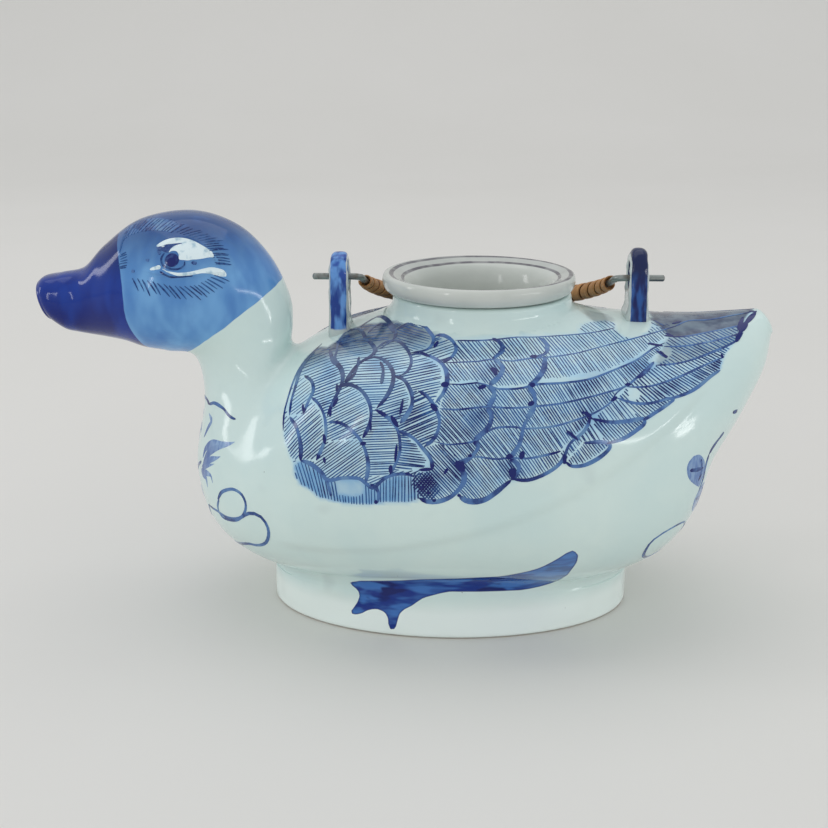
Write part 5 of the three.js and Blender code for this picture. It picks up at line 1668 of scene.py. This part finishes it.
# Rows of lashes: the path of their roots, the path of their tips, how many, and half the width.
LASHES = [
    ([(16.48, 82.7), (16.0, 83.8), (15.43, 82.6), (15.03, 78.1), (14.83, 72.9), (14.73, 66.4),
      (14.67, 61.8)],
     [(16.16, 93.9), (15.56, 93.3), (15.07, 89.6), (14.58, 83.7), (14.42, 75.6), (14.32, 66.9),
      (14.32, 59.3)], 19, 0.25),
    ([(15.97, 40.8), (15.66, 43), (15.4, 44.2), (15.18, 45.9), (14.96, 49.6), (14.84, 53.8)],
     [(15.78, 32.5), (15.44, 33), (15.12, 33.8), (14.88, 38.2), (14.67, 42.5), (14.52, 48.2)], 18, 0.2),
    ([(17.12, 55), (17.16, 43.1), (17.04, 38.6), (16.84, 37.4), (16.61, 37.6), (16.35, 39.2), (16.1, 41.2)],
     [(17.18, 41.4), (17.22, 24.9), (17.05, 18.3), (16.86, 14.8), (16.57, 18.1), (16.27, 25.3),
      (15.95, 31.4)], 25, 0.22),
    ([(16.94, 57.4), (16.82, 65.2), (16.76, 72.9)], [(17.11, 58.1), (17.06, 65.6),
      (16.97, 73)], 7, 0.22),
]


def paint_eyes(line_finish, pen_finish, white_and_glint_finish, wash_finish):
    """The eye on each side of the head: what the brush left white, with painted highlights in it, the
    pupil, and the lashes.
    """
    for side, flank in FLANKS:
        rng = np.random.default_rng(23)
        # Bare glaze with painted highlights: the white over the pupil carries a painted reflection, and the
        # lower lid's white line a painted glint.
        whites_and_glints = [
            patch(EYE_UPPER, EYE_LOWER, side, 0.07, 70, 14),
            patch(LID_UPPER, LID_LOWER, side, 0.07, 50, 6),
            brush_lines([LID_CORNER], 0.62, 16, side, rng, 0.07),
        ]
        lay_paint(f"eye_white_and_glint_{flank}", whites_and_glints, white_and_glint_finish)
        broad = [
            patch(*LASHES[2][:2], side, 0.04, 40, 8),
            patch(FOLD_UPPER, FOLD_LOWER, side, 0.09, 30, 5),
            brush_lines(EYE_MARKS, 0.5, 12, side, rng, 0.1),
        ]
        t = np.linspace(-1, 1, 24)
        for path, half, proud, load in ((PUPIL, 2.25, 0.12, 0.8), (PUPIL_CORE, 1.5, 0.15, 1.3)):
            row = drawn(path, 24)[None]
            wide = half * np.sqrt(np.clip(1 - t * t, 0.01, 1))[None]
            points, faces = ribbons(row[..., 0], row[..., 1], wide, side, proud, 9)
            broad.append((points, faces, np.full(len(points), load)))
        lay_paint(f"pupil_{flank}", broad, line_finish)
        fine = [brush_lines([UNDER_LID], 0.34, 30, side, rng, 0.06)]
        fine.append(brush_lines([IRIS], 0.26, 30, side, rng, 0.1))
        fine += [lashes(*row, side, rng) for row in LASHES]
        lay_paint(f"lashes_{flank}", fine, pen_finish)
        lay_paint(f"eye_shade_{flank}", [leaf(EYE_SHADE, 0.9, side)], wash_finish)


def lashes(roots, tips, count, half, side, rng):
    """Short strokes of the pen from places along one path to places along another."""
    first, last = drawn(roots, count), drawn(tips, count)
    stray = rng.uniform(-1, 1, (4, count)) * [[0.02], [0.5], [0.03], [1.0]]
    first = first + stray[:2].T
    last = last + stray[2:].T
    t = np.linspace(0, 1, 5)[None, :, None]
    reach = rng.uniform(0.8, 1.08, (count, 1, 1))
    rows = first[:, None] + (last - first)[:, None] * t * reach
    wide = half * np.array([0.55, 0.95, 1.0, 0.85, 0.4]) * rng.uniform(0.75, 1.2, (count, 1))
    points, faces = ribbons(rows[..., 0], rows[..., 1], wide, side, 0.1, 3)
    return points, faces, np.zeros(len(points))


# Stage, light and camera.


def floor_and_backdrop():
    """Pale table that runs out level and curves up in a quarter circle far behind the pot."""
    finish = Finish("pale_table", 0.7)
    tone = finish.noise(finish.place()[0], 260, 3)
    finish.drive("Base Color", finish.mix(tone, ink(226, 224, 219), ink(232, 230, 226)))
    far, radius = 1200, 900
    bend = np.radians(np.arange(10, 91, 10))
    y = np.concatenate([np.linspace(-3000, far, 15), far + radius * np.sin(bend)])
    z = np.concatenate([np.zeros(15), radius * (1 - np.cos(bend))])
    x = np.linspace(-3500, 3500, 9)
    grid = np.stack([x + 0 * y[:, None], y[:, None] + 0 * x, z[:, None] + 0 * x], -1)
    faces = weave(len(y), len(x), round_columns=False)
    mesh = bpy.data.meshes.new("table")
    mesh.from_pydata((grid.reshape(-1, 3) * MM).tolist(), [], faces.tolist())
    mesh.materials.append(finish.material)
    smooth_shaded(mesh, None)
    table = add_object("table", mesh)


def lamp(name, place, target, width, height, power):
    """A rectangular studio lamp at a place in metres, turned to face its target."""
    light = bpy.data.lights.new(name, "AREA")
    light.shape, light.size, light.size_y, light.energy = "RECTANGLE", width, height, power
    place, target = np.array(place, float), np.array(target, float)
    back = (place - target) / np.linalg.norm(place - target)
    side = np.cross([0, 0, 1], back)
    side /= np.linalg.norm(side)
    up = np.cross(back, side)
    matrix = np.eye(4)
    matrix[:3, :4] = np.stack([side, up, back, place], -1)
    add_object(name, light).matrix_world = Matrix(matrix.tolist())


def studio():
    """Lamps and a plain pale surround that the glaze can reflect."""
    middle = (0, 0, 0.06)
    lamp("window_left", (-1.24, 0.04, 0.48), middle, 0.2, 0.6, 1.6)
    lamp("window_edge", (-0.76, -0.98, 0.46), middle, 0.05, 0.6, 0.8)
    lamp("window_right", (1.16, -0.42, 0.14), middle, 0.1, 0.08, 0.25)
    lamp("lamp_right", (1.04, -0.68, 0.23), middle, 0.75, 0.05, 1.1)
    lamp("ceiling", (-0.1, 0.4, 1.6), middle, 1.6, 1.2, 4.3)
    world = bpy.data.worlds.new("surround")
    bpy.context.scene.world = world
    world.use_nodes = True
    ground = world.node_tree.nodes["Background"]
    ground.inputs["Color"].default_value = (0.96, 0.98, 1.0, 1.0)
    ground.inputs["Strength"].default_value = 0.7


def camera():
    """The photograph's viewpoint: a little above the pot, square to its near flank."""
    lens = bpy.data.cameras.new("view")
    lens.lens, lens.sensor_width, lens.clip_start = 58.7, 36.0, 0.01
    holder = add_object("view", lens)
    holder.location = VIEWPOINT * MM
    holder.rotation_euler = np.radians([73.2, 0, 1.8])
    bpy.context.scene.camera = holder


def build():
    """Every piece of the pot, its painting, and what it stands on and is lit by."""
    glaze = glaze_finish()
    duck_shell(glaze)
    mouth_collar(glaze)
    foot_ring(glaze)
    lugs = lug_finish()
    lug("front_ear", FRONT_LUG_X, FRONT_STRAP, lugs, "front_lug")
    lug("rear_ear", REAR_LUG_X, REAR_STRAP, lugs, "rear_lug")
    infuser(cup_finish())
    bail_wire(wire_finish())
    cane_winding(cane_finish("split_cane", ink(200, 146, 88), ink(168, 112, 62)))
    grip_padding(cane_finish("grip_padding", ink(168, 114, 66), ink(136, 88, 48)))
    line, pen, wash = cobalt_stroke_finish(), cobalt_pen_finish(), cobalt_wash_finish()
    paint_wings(line, pen)
    paint_sprigs(line, wash)
    paint_eyes(line, pen, eye_white_and_glint_finish(), wash)
    floor_and_backdrop()
    studio()
    camera()


build()
bpy.context.scene.view_settings.view_transform = "Standard"
